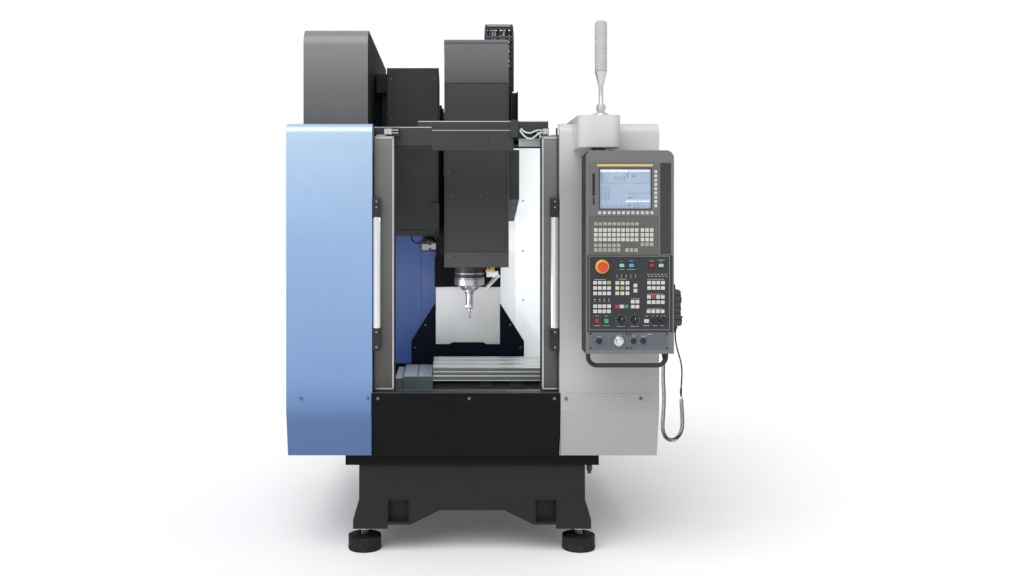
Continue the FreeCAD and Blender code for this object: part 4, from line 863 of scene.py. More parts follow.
def guard_folds():
    """Folded seams of the work-area guards, and the lamp bar on the left one."""
    for name, side, finish in (("left", -1, "blue_inner"), ("right", 1, "white_inner")):
        folds = Shape()
        for y in (-360, 20):
            folds.box(mirrored(side, 788, 784), (y - 9, y + 9), (690, 1874))
        for x in (250, 480):
            folds.box(mirrored(side, x, x + 16), (323, 327), (690, 1874))
        folds.box(mirrored(side, 788, 780), (-735, 327), (684, 690))
        finish_piece(folds, f"{name}_guard_folds", "machine", finish, 0.8)
    bar = Shape().box((-786, -752), (-560, -60), (1800, 1842))
    finish_piece(bar, "work_lamp_body", "machine", "alloy", 2)
    tube = Shape().box((-752.5, -748), (-550, -70), (1806, 1836))
    finish_piece(tube, "work_lamp_lens", "machine", "lamp_lens", 1.5)


def door_details():
    """Seals, glazing beads, roller hangers and handle screws of the two sliding doors."""
    for side, sign, edge in (("left", -1, 339), ("right", 1, 301)):
        body = f"{side}_door"
        near, far = edge, edge + 447

        def span(low, high):
            return mirrored(sign, low, high)

        seal = Shape().box(span(near - 5, near + 0.4), (-770, -756), (726, 1826))
        seal.box(span(near + 87, near + 95), (-782.5, -780), (806, 1748))
        seal.box(span(far - 54.5, far - 47), (-782.5, -780), (806, 1748))
        seal.box(span(near + 87, far - 47), (-782.5, -780), (804, 812))
        seal.box(span(near + 87, far - 47), (-782.5, -780), (1742, 1750))
        finish_piece(seal, f"{side}_door_seals", body, "rubber", 0.8)
        # Light strips along the door's near edge, top and bottom: painted highlights.
        band = Shape().box(span(near + 2, near + 9), (-783.2, -780), (732, 1824))
        band.box(span(near + 2, near + 82), (-783.2, -780), (1818, 1826))
        band.box(span(near + 2, near + 82), (-783.2, -780), (730, 736))
        finish_piece(band, f"{side}_door_edge_highlights", body, "edge_light", 0.8)
        hanger = Shape()
        for x in (near + 60, far - 70):
            hanger.box(span(x - 20, x + 20), (-752, -746), (1790, 1838))
        finish_piece(hanger, f"{side}_door_hangers", body, "screw_steel", 1)
        fixings = Shape()
        inset = 74 if sign < 0 else 52
        for z in (1520, 1545, 920, 985):
            fixings.screw((sign * (edge + inset), -839.5, z), "y", 4, 2.5, -1)
        finish_piece(fixings, f"{side}_handle_screws", body, "screw_steel", 0.2)


def header_details():
    """Painted highlights on the folds of the beams over the doors, a strip of painted shade on the rail,
    the track, switches, cables and cable bracket.
    """
    # Light strips along the beams' folds: painted highlights.
    folds = Shape().box((-237, 336), (-716.2, -714), (1897, 1901))
    folds.box((-432, -178), (-716.2, -714), (1871, 1875))
    folds.box((-176, 183), (-715.2, -713), (1858, 1861))
    finish_piece(folds, "header_fold_highlights", "machine", "edge_light", 0.4)
    lines = Shape()
    for x in (-60, 75):
        lines.box((x - 0.8, x + 0.8), (-714.6, -713.5), (1774, 1858))
    lines.box((-237, 336), (-715.5, -714.5), (1874, 1875.2))
    finish_piece(lines, "header_lines", "machine", "seam", 0)
    # A dark strip over the left part of the rail: painted shade.
    shade_strip = Shape().box((-431, -176), (-703.5, -699), (1780, 1796))
    finish_piece(shade_strip, "rail_painted_shade", "machine", "header", 0.5)
    track = Shape().box((206, 345), (-722, -706), (1788, 1822))
    track.box((206, 345), (-726, -722), (1816, 1822))
    finish_piece(track, "door_track", "machine", "cover_steel", 2)
    body = Shape()
    for low, high, tongue in ((-384, -352, 1), (310, 334, -1)):
        body.box((low, high), (-757, -745), (1839, 1864))
        out = high if tongue > 0 else low - 28
        for z in (1844, 1856):
            body.box((out, out + 28), (-751, -747), (z, z + 4))
        body.rod("y", 3, ((low + high) / 2, 0, 1858), -759, -756)
        body.rod("y", 3, ((low + high) / 2, 0, 1845), -759, -756)
    finish_piece(body, "interlock_switches", "machine", "lamp_metal", 0.8)
    cable = Shape()
    for points in ([(306, -748, 1850), (285, -752, 1838), (262, -752, 1822), (240, -750, 1824),
                    (222, -746, 1840), (210, -735, 1858)],
                   [(304, -746, 1858), (280, -750, 1856), (255, -750, 1846), (232, -744, 1850),
                    (214, -732, 1866)]):
        cable.tube(smooth(points), 3.2, 10)
    finish_piece(cable, "interlock_cables", "machine", "cable_white", 0)
    bracket = Shape().box((218, 255), (132, 136), (1870, 2121))
    bracket.box((218, 222), (60, 134), (1870, 2121))
    bracket.box((251, 255), (60, 134), (1870, 2121))
    finish_piece(bracket, "cable_bracket", "head", "charcoal", 1)


def smooth(points, steps=8):
    """A finer line through a few given points, by Catmull-Rom interpolation."""
    points = [Vector(point) for point in points]
    padded = [2 * points[0] - points[1], *points, 2 * points[-1] - points[-2]]
    line = []
    for a, b, c, d in zip(padded, padded[1:], padded[2:], padded[3:]):
        for step in range(steps):
            t = step / steps
            line.append(0.5 * ((2 * b) + (c - a) * t + (2 * a - 5 * b + 4 * c - d) * t * t
                               + (3 * b - a - 3 * c + d) * t * t * t))
    line.append(points[-1])
    return [tuple(point) for point in line]


def side_details():
    """Service doors, latches, louvres, isolator, glands and lifting eyes, sides and back."""
    seams = Shape()
    for side in (-1, 1):
        x = sorted((side * 800.3, side * 799))
        for y in (-330, 250):
            seams.box(x, (y - 1.2, y + 1.2), (560, 1800))
        for z in (560, 1800):
            seams.box(x, (-330, 250), (z - 1.2, z + 1.2))
        seams.box(x, (-735, 730), (520, 522))
    for x in (-2, 2):
        seams.box((x - 1, x + 1), (980, 980.4), (520, 1830))
    for x in (-440, 440):
        seams.box((x - 1, x + 1), (980, 980.4), (520, 1830))
    for z in (520, 1830):
        seams.box((-440, 440), (980, 980.4), (z - 1, z + 1))
    finish_piece(seams, "service_door_lines", "machine", "seam", 0)
    latches = Shape()
    for side in (-1, 1):
        for z in (800, 1180, 1560):
            base = side * 800
            latches.lathe([(16, 0), (16, 2.5 * side), (13, 4 * side), (0.1, 4 * side)],
                          (base, 222, z), "x", 28)
            latches.box(sorted((base, base + side * 9)), (219, 225), (z - 11, z + 11))
    for z in (760, 1500):
        latches.lathe([(14, 0), (14, 3), (11, 5), (0.1, 5)], (-24, 980, z), "y", 28)
        latches.box((-27, -21), (980, 988), (z - 10, z + 10))
    finish_piece(latches, "quarter_turn_latches", "machine", "plastic", 0.8)
    hinges = Shape()
    for z in (640, 1180, 1720):
        for x in (-446, 446):
            hinges.rod("z", 7, (x, 985, 0), z - 35, z + 35, 1, 16)
            hinges.box((x - 22, x + 22), (979, 982), (z - 30, z + 30))
        for side in (-1, 1):
            hinges.rod("z", 6, (side * 803, -338, 0), z - 35, z + 35, 1, 16)
    finish_piece(hinges, "service_door_hinges", "machine", "plastic", 0.6)
    louvres = Shape()
    for x in (-330, 110):
        for row in range(12):
            z = 600 + row * 17
            louvres.prism("x", [(980, z), (988, z - 5), (988, z - 3), (980, z + 7)], x, x + 220)
    for side in (-1, 1):
        for row in range(10):
            z = 1500 + row * 18
            edge = side * 800
            louvres.prism("y", [(edge, z), (edge + side * 8, z - 5), (edge + side * 8, z - 3),
                                (edge, z + 7)], 330, 600)
    finish_piece(louvres, "cooling_louvres", "machine", "light", 0.5)
    switch = Shape().box((250, 330), (980, 986), (1560, 1640))
    finish_piece(switch, "isolator_plate", "machine", "yellow", 1.5)
    handle = Shape().lathe([(30, 986), (30, 1000), (26, 1004), (0.1, 1004)], (290, 0, 1600), "y", 32)
    handle.box((284, 296), (1000, 1014), (1570, 1630))
    finish_piece(handle, "isolator_handle", "machine", "stop_red", 1.5)
    glands = Shape()
    for index, x in enumerate((-300, -240, -180, -120)):
        radius = (16, 13, 13, 11)[index]
        glands.lathe([(radius, 500), (radius, 488), (radius * 0.75, 484), (radius * 0.6, 470),
                      (0.1, 470)], (x, 860, 0), "z", 6)
    finish_piece(glands, "cable_glands", "machine", "plastic", 0.8)
    eyes = Shape()
    for x, y in ((50, 420), (150, 640), (-150, 640)):
        eyes.lathe([(22, 2000), (22, 2010), (11, 2014), (11, 2020)], (x, y, 0), "z", 24)
        ring = [(x + 24 * math.cos(a), y, 2046 + 24 * math.sin(a))
                for a in [2 * math.pi * k / 32 for k in range(33)]]
        eyes.tube(ring, 8, 12)
    finish_piece(eyes, "lifting_eyes", "machine", "casting", 0.5)


FEET = [(x, y) for x in (-477, 477) for y in (-650, 650)]
WINDOW_NEAR, WINDOW_FAR = 279, 368      # the bed's front windows, from the machine's middle


def bed_details():
    """Nuts, jack bolts and pads of the four feet, and small fittings on the bed."""
    nuts = Shape()
    for x, y in FEET:
        nuts.lathe([(20, 84.5), (23, 87), (23, 106), (20, 108.5)], (x, y, 0), "z", 48,
                   (0, 1, 2, 3))
        for turn in range(9):
            z = 63 + turn * 2.3
            nuts.lathe([(15, z), (16.4, z + 1.1), (15, z + 2.2)], (x, y, 0), "z", 24)
    finish_piece(nuts, "foot_nuts", "machine", "screw_steel", 0.4)
    rims = Shape()
    for x, y in FEET:
        rims.lathe([(73.6, 8), (74.4, 10), (74.4, 14), (73.6, 16)], (x, y, 0), "z", 48)
        rims.lathe([(58, 62), (58, 66), (50, 70), (26, 70), (26, 62)], (x, y, 0), "z", 48)
    finish_piece(rims, "foot_rims", "machine", "feet", 0.6)
    lips = Shape()
    for side in (-1, 1):
        x = mirrored(side, WINDOW_NEAR, WINDOW_FAR)
        lips.box(x, (-733, -729), (236, 240))
        lips.box(x, (-733, -729), (135, 139))
        for edge in (WINDOW_NEAR - 4, WINDOW_FAR):
            lips.box(mirrored(side, edge, edge + 4), (-733, -729), (135, 240))
    finish_piece(lips, "bed_window_lips", "machine", "casting", 0.8)
    plug = Shape().rod("z", 13, (513, -742, 0), 368, 394, 2)
    plug.rod("z", 8, (513, -742, 0), 356, 370, 2)
    finish_piece(plug, "drain_fitting", "machine", "plastic", 0.5)
    backs = Shape()
    for side in (-1, 1):
        backs.box(mirrored(side, WINDOW_NEAR, WINDOW_FAR), (-692, -690), (139, 236))
    finish_piece(backs, "bed_window_backs", "machine", "seam", 0)


# ---------------------------------------------------------------- head, spindle and table

SPINDLE_Y = -190
SPINDLE = (0, SPINDLE_Y, 0)

def head_details():
    """Seams, screws and folds of the head's covers."""
    seams = Shape()
    for z in (1313, 2104, 2293):
        seams.box((-123.3, 180.3), (-405.3, -404), (z - 1.2, z + 1.2))
        seams.box((-123.3, -122), (-405, 130), (z - 1.2, z + 1.2))
        seams.box((179, 180.3), (-405, 130), (z - 1.2, z + 1.2))
    for x in (-112, 169):
        seams.box((x - 0.7, x + 0.7), (-405.3, -404), (1313, 2104))
    seams.box((238, 239.3), (-100, -98), (1480, 1798))
    finish_piece(seams, "head_cover_seams", "head", "seam", 0)
    cap = Shape().box((-124.5, 181.5), (-406.5, 129), (2295, 2311))
    finish_piece(cap, "head_cover_cap", "head", "head_paint", 7, segments=4)
    lip = Shape()
    for z in (1316, 2107):
        lip.box((-122, 179), (-406, -404), (z, z + 2))
    lip.box((-123.6, 180.6), (-406, -402), (1239.5, 1243))
    finish_piece(lip, "head_cover_lips", "head", "header", 0.5)
    heads = Shape()
    for x, z in ((-103, 1692), (8, 1692), (120, 1692), (-82, 1577), (47, 1577), (-82, 1466),
                 (46, 1466), (-100, 1290), (157, 1290)):
        heads.screw((x, -405, z), "y", 3.2, 1.8, -1)
    for z in (1500, 1780):
        for y in (-230, 60):
            heads.screw((239, y, z), "x", 3.2, 1.8, 1)
    finish_piece(heads, "head_cover_screws", "head", "screw_dark", 0.2)


def spindle_details():
    """Spindle nose, tool holder, collet nut and twist drill, all turning together."""
    nose = Shape().lathe([(0.1, 1118), (24, 1118), (27, 1117), (36, 1117), (57.6, 1142), (71, 1143),
                (72, 1144), (72, 1156), (70.6, 1157), (70.6, 1159), (72, 1160), (72, 1170.5),
                (70, 1171.7), (40, 1171.7)], SPINDLE, "z", 64)
    for turn in range(8):
        angle = math.pi * (turn + 0.5) / 4
        nose.rod("z", 4, (50 * math.cos(angle), SPINDLE_Y + 50 * math.sin(angle), 0), 1131, 1139, 0.5,
                 12)
    finish_piece(nose, "spindle_nose", "spindle", "nose_steel", 0.3)
    keys = Shape()
    for sign in (-1, 1):
        keys.box(mirrored(sign, 22, 34), (-197, -183), (1107, 1120))
    finish_piece(keys, "drive_keys", "spindle", "steel", 0.6)
    holder = Shape().lathe([(0.1, 1162), (14, 1162), (14, 1117), (22, 1117), (23, 1116), (23, 1111),
                  (20, 1108.5), (20, 1105.5), (23, 1103), (23, 1102), (22, 1101), (18, 1100),
                  (18, 1058), (17, 1050), (17, 1049)], SPINDLE, "z", 48)
    finish_piece(holder, "tool_holder_body", "spindle", "steel", 0.2)
    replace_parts(bpy.data.objects["tool_holder_body"], "tool_holder")
    nut = Shape()
    rings = []
    for z, radius, deep in ((1049, 20.0, 0), (1047, 20.5, 0), (1045, 20.5, 2.6),
                            (1033, 20.5, 2.6), (1031, 20.5, 0), (1029, 19.5, 0),
                            (1027, 15, 0), (1027, 6.3, 0)):
        rings.append([((radius - (deep if step % 8 in (3, 4) else 0)) * math.cos(a),
                       SPINDLE_Y + (radius - (deep if step % 8 in (3, 4) else 0)) * math.sin(a), z)
                      for step, a in [(k, 2 * math.pi * k / 48) for k in range(48)]])
    nut.rings(rings)
    finish_piece(nut, "collet_nut", "spindle", "nose_steel", 0.2)
    flute = Shape()
    rings = []
    for level in range(41):
        z = 1034 - level * 1.375
        twist = level * 0.22 if z < 1022 else 0.0
        ring = []
        for step in range(24):
            angle = 2 * math.pi * step / 24
            groove = max(0.0, math.cos(2 * (angle - twist))) ** 2
            radius = 6 * (1 - (0.42 * groove if z < 1020 else 0))
            ring.append((radius * math.cos(angle), SPINDLE_Y + radius * math.sin(angle), z))
        rings.append(ring)
    rings.append([(0.4 * math.cos(2 * math.pi * k / 24), SPINDLE_Y + 0.4 * math.sin(
        2 * math.pi * k / 24), 975.3) for k in range(24)])
    flute.rings(rings)
    drill = finish_piece(flute, "twist_drill", "spindle", "steel", 0, 50)
    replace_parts(drill, "drill")
    quill = Shape().lathe([(71.5, 1173), (71.5, 1179), (70, 1180)], SPINDLE, "z", 64)
    quill.lathe([(70, 1196), (71.2, 1197), (71.2, 1203), (70, 1204)], SPINDLE, "z", 64)
    for turn in range(8):
        angle = math.pi * turn / 4
        quill.rod("z", 5, (62 * math.cos(angle), SPINDLE_Y + 62 * math.sin(angle), 0), 1172.2, 1174,
                  0.4, 16)
    finish_piece(quill, "quill_rings", "head", "steel", 0.3)


def coolant_details():
    """Coolant manifold with its jointed nozzles and the hose that feeds them."""
    block = Shape().box((82, 140), (-212, -168), (1182, 1212))
    block.box((86, 122), (-208, -172), (1212, 1348))
    block = finish_piece(block, "coolant_manifold", "head", "alloy", 2)
    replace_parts(block, "coolant_nozzle")
    joints = Shape().rod("y", 8, (140, 0, 1186), -212, -168, 1, 20)
    paths = ([(140, -200, 1186), (124, -206, 1168), (104, -210, 1148), (84, -212, 1128)],
             [(128, -178, 1184), (112, -176, 1166), (96, -176, 1146), (82, -178, 1130)])
    for path in paths:
        line = smooth(path, 6)
        for index in range(0, len(line) - 1, 3):
            a, b = Vector(line[index]), Vector(line[min(index + 3, len(line) - 1)])
            joints.tube([a, a.lerp(b, 0.5), b], 7.2, 14, 5.0)
        a, b = Vector(line[-3]), Vector(line[-1])
        joints.tube([b, b + (b - a).normalized() * 16], 4.6, 14, 2.4)
    finish_piece(joints, "coolant_nozzles", "head", "alloy", 0.3)
    fittings = Shape()
    for x in (88, 112):
        fittings.lathe([(7, 1215), (7, 1222), (5, 1224), (5, 1230)], (x, -214, 0), "z", 6)
    fittings.box((78, 122), (-216, -208), (1206, 1220))
    finish_piece(fittings, "coolant_fittings", "head", "brass", 0.4)
    hose = Shape().tube(smooth([(98, -208, 1225), (98, -214, 1240), (102, -212, 1256), (104, -200, 1300),
                      (104, -198, 1345)]), 5, 12)
    finish_piece(hose, "coolant_hose", "head", "plastic", 0)


def table_details():
    """Slot edges, front rails and screws of the table, and the skirts and wipers of its covers."""
    low, high = corners("table")
    rims = Shape()
    for index in (-1, 0, 1):
        y = SPINDLE_Y + 125 * index
        for side in (-1, 1):
            rims.box((low.x + 1, high.x - 1), sorted((y + side * 7, y + side * 22)),
                     (763.2, 764.5))
    finish_piece(rims, "slot_edges", "table", "edge_light", 0.3)
    front = Shape()
    for z, high_z in ((704, 707), (724, 730), (744, 749)):
        front.box((low.x + 2, high.x - 2), (-392, -389.5), (z, high_z))
    finish_piece(front, "table_front_rails", "table", "edge_light", 0.5)
    heads = Shape()
    for x in range(-150, 471, 124):
        heads.screw((x, -390, 737), "y", 4, 2, -1)
    finish_piece(heads, "table_screws", "table", "screw_dark", 0.2)
    skirts = Shape()
    for end, sign in ((low.x, -1), (high.x, 1)):
        skirts.box(sorted((end, end + sign * 141)), (-387.2, -384.2), (612, 724))
        skirts.box(sorted((end + sign * 143, end + sign * 180)), (-381, -378), (612, 714))
    finish_piece(skirts, "cover_skirts", "table", "skirt_green", 1)
    covers = Shape()
    for end, sign in ((low.x, -1), (high.x, 1)):
        for reach, top in ((2, 724.5), (71, 724.5), (138, 724.5), (177, 714.5)):
            x = end + sign * reach
            covers.box(sorted((x, x + sign * 4)), (-385, 5), (top - 26, top))
    finish_piece(covers, "cover_wipers", "table", "rubber", 0.6)


def apron_details():
    """Edges and screws of the apron, the shield's folds and the black way cover above it."""
    # The apron's edges share its painted shade.
    edges = Shape()
    for side in (-1, 1):
        edges.box(mirrored(side, 293, 299), (238, 241), (610, 814))
        edges.tube([(side * 296, 240, 815), (side * 171, 240, 1013)], 2.5, 8)
    finish_piece(edges, "apron_edges", "machine", "navy", 0.6)
    heads = Shape()
    for side in (-1, 1):
        for x, z in ((280, 650), (280, 780), (225, 900)):
            heads.screw((side * x, 240, z), "y", 5, 2.5, -1)
    finish_piece(heads, "apron_screws", "machine", "screw_dark", 0.2)
    fold = Shape()
    for side in (-1, 1):
        fold.box(mirrored(side, 164, 170), (230, 233), (801, 1100))
    fold.box((-168, 168), (230, 233), (1094, 1100))
    finish_piece(fold, "shield_folds", "head", "sheet_steel", 0.6)
    upper = Shape().box((-176, 174), (236, 239), (1104, 1262))
    upper.box((-105, 105), (230, 232.5), (1102.5, 1349))
    for z in (1150, 1200, 1250, 1300):
        upper.box((-103, 103), (228.8, 231), (z, z + 3))
    for x in (-92, 92):
        for z in (1120, 1330):
            upper.screw((x, 230, z), "y", 5, 2.5, -1)
    finish_piece(upper, "way_cover", "head", "black", 0.4)


def changer_details():
    """Fingers of the change arm, its cover plate and the sensor beneath the housing."""
    fingers = Shape()
    for sign in (-1, 1):
        centre = SPINDLE_Y + sign * 200
        fingers.box((-228, -196), sorted((centre + sign * 20, centre + sign * 38)), (1322, 1350))
        fingers.box((-184, -162), sorted((centre + sign * 14, centre + sign * 40)), (1325, 1352))
        fingers.rod("x", 9, (0, centre + sign * 30, 1338), -196, -184, 1, 20)
        fingers.screw((-200, centre - sign * 48, 1360), "z", 8, 5)
    fingers.screw((-200, SPINDLE_Y, 1360), "z", 16, 6)
    finish_piece(fingers, "arm_fingers", "tool_change_arm", "steel", 1)
    plate = Shape().box((-392, -158), (-283, -280), (1396, 1412))
    plate.box((-396, -392), (-283, -280), (1396, 2186))
    plate.box((-158, -154), (-283, -280), (1396, 2186))
    finish_piece(plate, "changer_front_folds", "machine", "charcoal", 0.8)
    sensor = Shape().box((-225, -178), (-262, -232), (1340, 1372))
    sensor.rod("x", 9, (0, -247, 1350), -182, -158, 1)
    sensor.rod("x", 7, (0, -247, 1350), -250, -224, 1)
    sensor.tube(smooth([(-250, -247, 1350), (-268, -247, 1352), (-280, -240, 1366),
                        (-284, -230, 1383)]), 4, 10)
    finish_piece(sensor, "changer_sensor", "machine", "plastic", 0.8)


# ---------------------------------------------------------------- top of the machine

CHAIN_LEFT, CHAIN_RIGHT, CHAIN_Y, CHAIN_Z = 93, 238, 262.5, 2378
CHAIN_LEG, CHAIN_BEND, CHAIN_PITCH = 248, 100, 50.6     # straight legs, middle radius, one link
DISC_Z, POT_RING, POTS = 2102, 165, 14


def chain_place(distance, radius):
    """The point and the outward direction at a distance along the chain's middle line."""
    leg, bend = CHAIN_LEG, math.pi * CHAIN_BEND
    if distance < leg:
        return (CHAIN_Y - radius, CHAIN_Z - leg + distance), (-1, 0)
    if distance < leg + bend:
        angle = math.pi - (distance - leg) / CHAIN_BEND
        out = (math.cos(angle), math.sin(angle))
        return (CHAIN_Y + radius * out[0], CHAIN_Z + radius * out[1]), out
    return (CHAIN_Y + radius, CHAIN_Z - (distance - leg - bend)), (1, 0)


def chain_details():
    """Open links of the cable chain, its cross-bars and the hoses that lie inside."""
    total, pitch = 2 * CHAIN_LEG + math.pi * CHAIN_BEND, CHAIN_PITCH
    links, bars = Shape(), Shape()
    for number in range(int(total / pitch)):
        start = number * pitch + 1.5
        steps = [start + (pitch - 3) * part / 5 for part in range(6)]
        for side in (CHAIN_LEFT, CHAIN_RIGHT - 9):
            for shift, radii in ((0, (80, 120)), (1.2, (88, 112))):
                ring = [chain_place(d, radii[1])[0] for d in steps]
                ring += [chain_place(d, radii[0])[0] for d in reversed(steps)]
                links.prism("x", ring, side - shift, side + 9 + shift)
        for radius in (84, 118):
            ring = [chain_place(start + 18 + 12 * part, radius + 3)[0] for part in (0, 1)]
            ring += [chain_place(start + 18 + 12 * part, radius - 2)[0] for part in (1, 0)]
            bars.prism("x", ring, CHAIN_LEFT + 4, CHAIN_RIGHT - 4)
    links = finish_piece(links, "chain_links", "chain_loop", "chain", 1.2)
    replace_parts(links, "chain_loop")
    finish_piece(bars, "chain_bars", "chain_loop", "chain", 1.0)
    hoses = {"hose_blue": ((114, 5),), "hose_grey": ((129, 5), (143, 5), (188, 7)),
             "rubber": ((162, 8), (208, 6))}
    for finish, places in hoses.items():
        lines = Shape()
        for x, wide in places:
            middle = 93 + x * 7 % 9
            points = [(x, *chain_place(total * k / 48, middle)[0]) for k in range(49)]
            lines.tube(points, wide, 10)
        finish_piece(lines, f"chain_{finish}", "chain_loop", finish, 0)


def magazine_details():
    """Panel joints, window frame and screws of the magazine's cover, and the pots behind it."""
    lines = Shape()
    for y in (-560, 60, 480):
        lines.box((-753.4, -463.6), (y - 1, y + 1), (2323, 2324.4))
        for x in (-753.4, -464.6):
            lines.box((x, x + 1), (y - 1, y + 1), (1883, 2323))
    finish_piece(lines, "magazine_joints", "machine", "seam", 0)
    # The window frame on that side takes the same painted shade.
    frame_bars = Shape()
    for z in ((1895, 1903), (2153, 2161)):
        frame_bars.box((-467, -462), (-225, 706), z)
    for y in ((-225, -218), (699, 706)):
        frame_bars.box((-467, -462), y, (1895, 2161))
    finish_piece(frame_bars, "magazine_window_frame", "machine", "magazine_side", 1.2)
    pots = Shape()
    for turn in range(POTS):
        angle = 2 * math.pi * turn / POTS
        y, z = SPINDLE_Y + POT_RING * math.cos(angle), DISC_Z + POT_RING * math.sin(angle)
        pots.lathe([(26, -541), (26, -532), (22, -530), (22, -539)], (0, y, z), "x", 28)
        pots.lathe([(12, -541), (12, -522), (9, -519), (0.1, -519)], (0, y, z), "x", 20)
    finish_piece(pots, "tool_pots", "magazine_disc", "nose_steel", 0.6)
    heads = Shape()
    for y in (-540, -300, 80, 300, 500, 700):
        for z in (1900, 2300):
            heads.screw((-753, y, z), "x", 5, 2.5, -1)
    finish_piece(heads, "magazine_screws", "machine", "screw_steel", 0.2)


def changer_link():
    """Guards that close the gap between the magazine and the changer's housing."""
    link = Shape().box((-462, -401), (-120, 284), (2092, 2186))
    link.box((-462, -401), (278, 284), (1884, 2094))
    link.box((-436, -404), (-90, -60), (1884, 2094))
    finish_piece(link, "changer_link", "machine", "charcoal", 2)
    box = Shape().box((-216, -128), (395, 520), (2000, 2066))
    box.box((-206, -138), (405, 510), (2066, 2084))
    finish_piece(box, "terminal_box", "machine", "plastic", 4)


def signal_lamp():
    """Signal lamp: turned base, tapered stand and a ribbed lens under a cap."""
    x, y, top = 541, -900, 1901
    stand = Shape().lathe([(35, top), (35, top + 9), (33, top + 13), (16, top + 20), (14.5, top + 21),
                 (20, top + 34), (20, top + 38), (18, top + 52), (12, top + 54),
                 (9.5, top + 58), (9.5, 2031), (12, 2034), (14, 2046), (24, 2085),
                 (26, 2089), (26, 2094), (22, 2096)], (x, y, 0), "z", 40)
    for turn in range(3):
        angle = 2 * math.pi * turn / 3 + 0.5
        stand.screw((x + 27 * math.cos(angle), y + 27 * math.sin(angle), top + 12), "z", 4, 3.5)
    stand = finish_piece(stand, "lamp_stand", "machine", "lamp_metal", 0.4)
    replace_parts(stand, "signal_lamp")
    lens_body = Shape()
    profile = [(24.5, 2096)]
    for row in range(3):
        base = 2098 + row * 66
        profile += [(25.2, base), (25.6, base + 2), (25.6, base + 60), (25.2, base + 62),
                    (24.2, base + 63)]
    profile += [(25.4, 2297), (24, 2301), (18, 2307), (0.1, 2307)]
    lens_body.lathe(profile, (x, y, 0), "z", 48)
    finish_piece(lens_body, "lamp_lenses", "machine", "lamp_lens", 0.3)


# ---------------------------------------------------------------- operator panel

FACE = -1090            # front of the panel's housing
PULSE_Y = -1028         # middle of the pulse unit and of its cords


def framed(shape, x, z, hole_x, hole_z, front, back):
    """A plate with a rectangular hole, as four bars."""
    shape.box((x[0], hole_x[0]), (front, back), z)
    shape.box((hole_x[1], x[1]), (front, back), z)
    shape.box(hole_x, (front, back), (z[0], hole_z[0]))
    shape.box(hole_x, (front, back), (hole_z[1], z[1]))
    return shape


def panel_body():
    """Housing, bezel, key bed, strips and outline of the operator panel."""
    refined("panel_housing", 2, ["panel_grey", "panel_side"],
            lambda centre, normal: 1 if normal.x < -0.5 else 0)
    bezel = framed(Shape(), (464, 747), (1483, 1702), (509, 715), (1514, 1675), FACE - 2, FACE)
    finish_piece(bezel, "screen_bezel", "operator_panel", "panel_bezel", 0.8)
    plate = Shape().box((464, 747), (FACE - 1.6, FACE), (1327, 1481))
    finish_piece(plate, "key_bed", "operator_panel", "panel_keys_bed", 0.8)
    lip = framed(Shape(), (505, 719), (1510, 1679), (509, 715), (1514, 1675), FACE - 3, FACE - 1)
    finish_piece(lip, "screen_frame", "operator_panel", "strip_dark", 0.6)
    strip = Shape().box((753, 797), (FACE - 1.2, FACE), (1329, 1699))
    strip.box((789, 793), (FACE - 3, FACE - 1), (1333, 1348))
    finish_piece(strip, "side_strip", "operator_panel", "strip_dark", 0.8)
    control = Shape().box((458, 803), (FACE - 1, FACE), (1013, 1325))
    finish_piece(control, "control_plate", "operator_panel", "panel_dark", 0.5)
    yellow = Shape().box((497, 723), (FACE - 2.8, FACE - 1.9), (1685, 1693))
    finish_piece(yellow, "bezel_stripe", "operator_panel", "yellow_stripe", 0.3)
    outline = framed(Shape(), (465, 791), (1022.6, 1322), (466.6, 789.4), (1024.2, 1320.4),
                     FACE - 1.5, FACE - 0.9)
    finish_piece(outline, "control_outline", "operator_panel", "panel_line", 0)
    housing_fittings()


def housing_fittings():
    """Screws, seam and vents of the panel's housing, and its card-slot cover."""
    side = Shape()
    for z in (990, 1240, 1490, 1700):
        side.screw((452, -1040, z), "x", 4, 2, -1)
    for x in (470, 790):
        for z in (960, 1715):
            side.screw((x, -960, z), "y", 4, 2, 1)
    side.box((450.8, 452.2), (-975, -968), (940, 1735))
    finish_piece(side, "housing_screws", "operator_panel", "plastic", 0.3)
    vents = Shape()
    for row in range(10):
        vents.box((560, 700), (-960.6, -959), (1500 + row * 14, 1504 + row * 14))
    finish_piece(vents, "housing_vents", "operator_panel", "seam", 0.2)
    slot = Shape().box((478, 489), (FACE - 3.2, FACE - 1.5), (1566, 1656))
    slot.box((480, 487), (FACE - 3.4, FACE - 1.5), (1530, 1560))
    finish_piece(slot, "card_slot_cover", "operator_panel", "panel_side", 0.8)


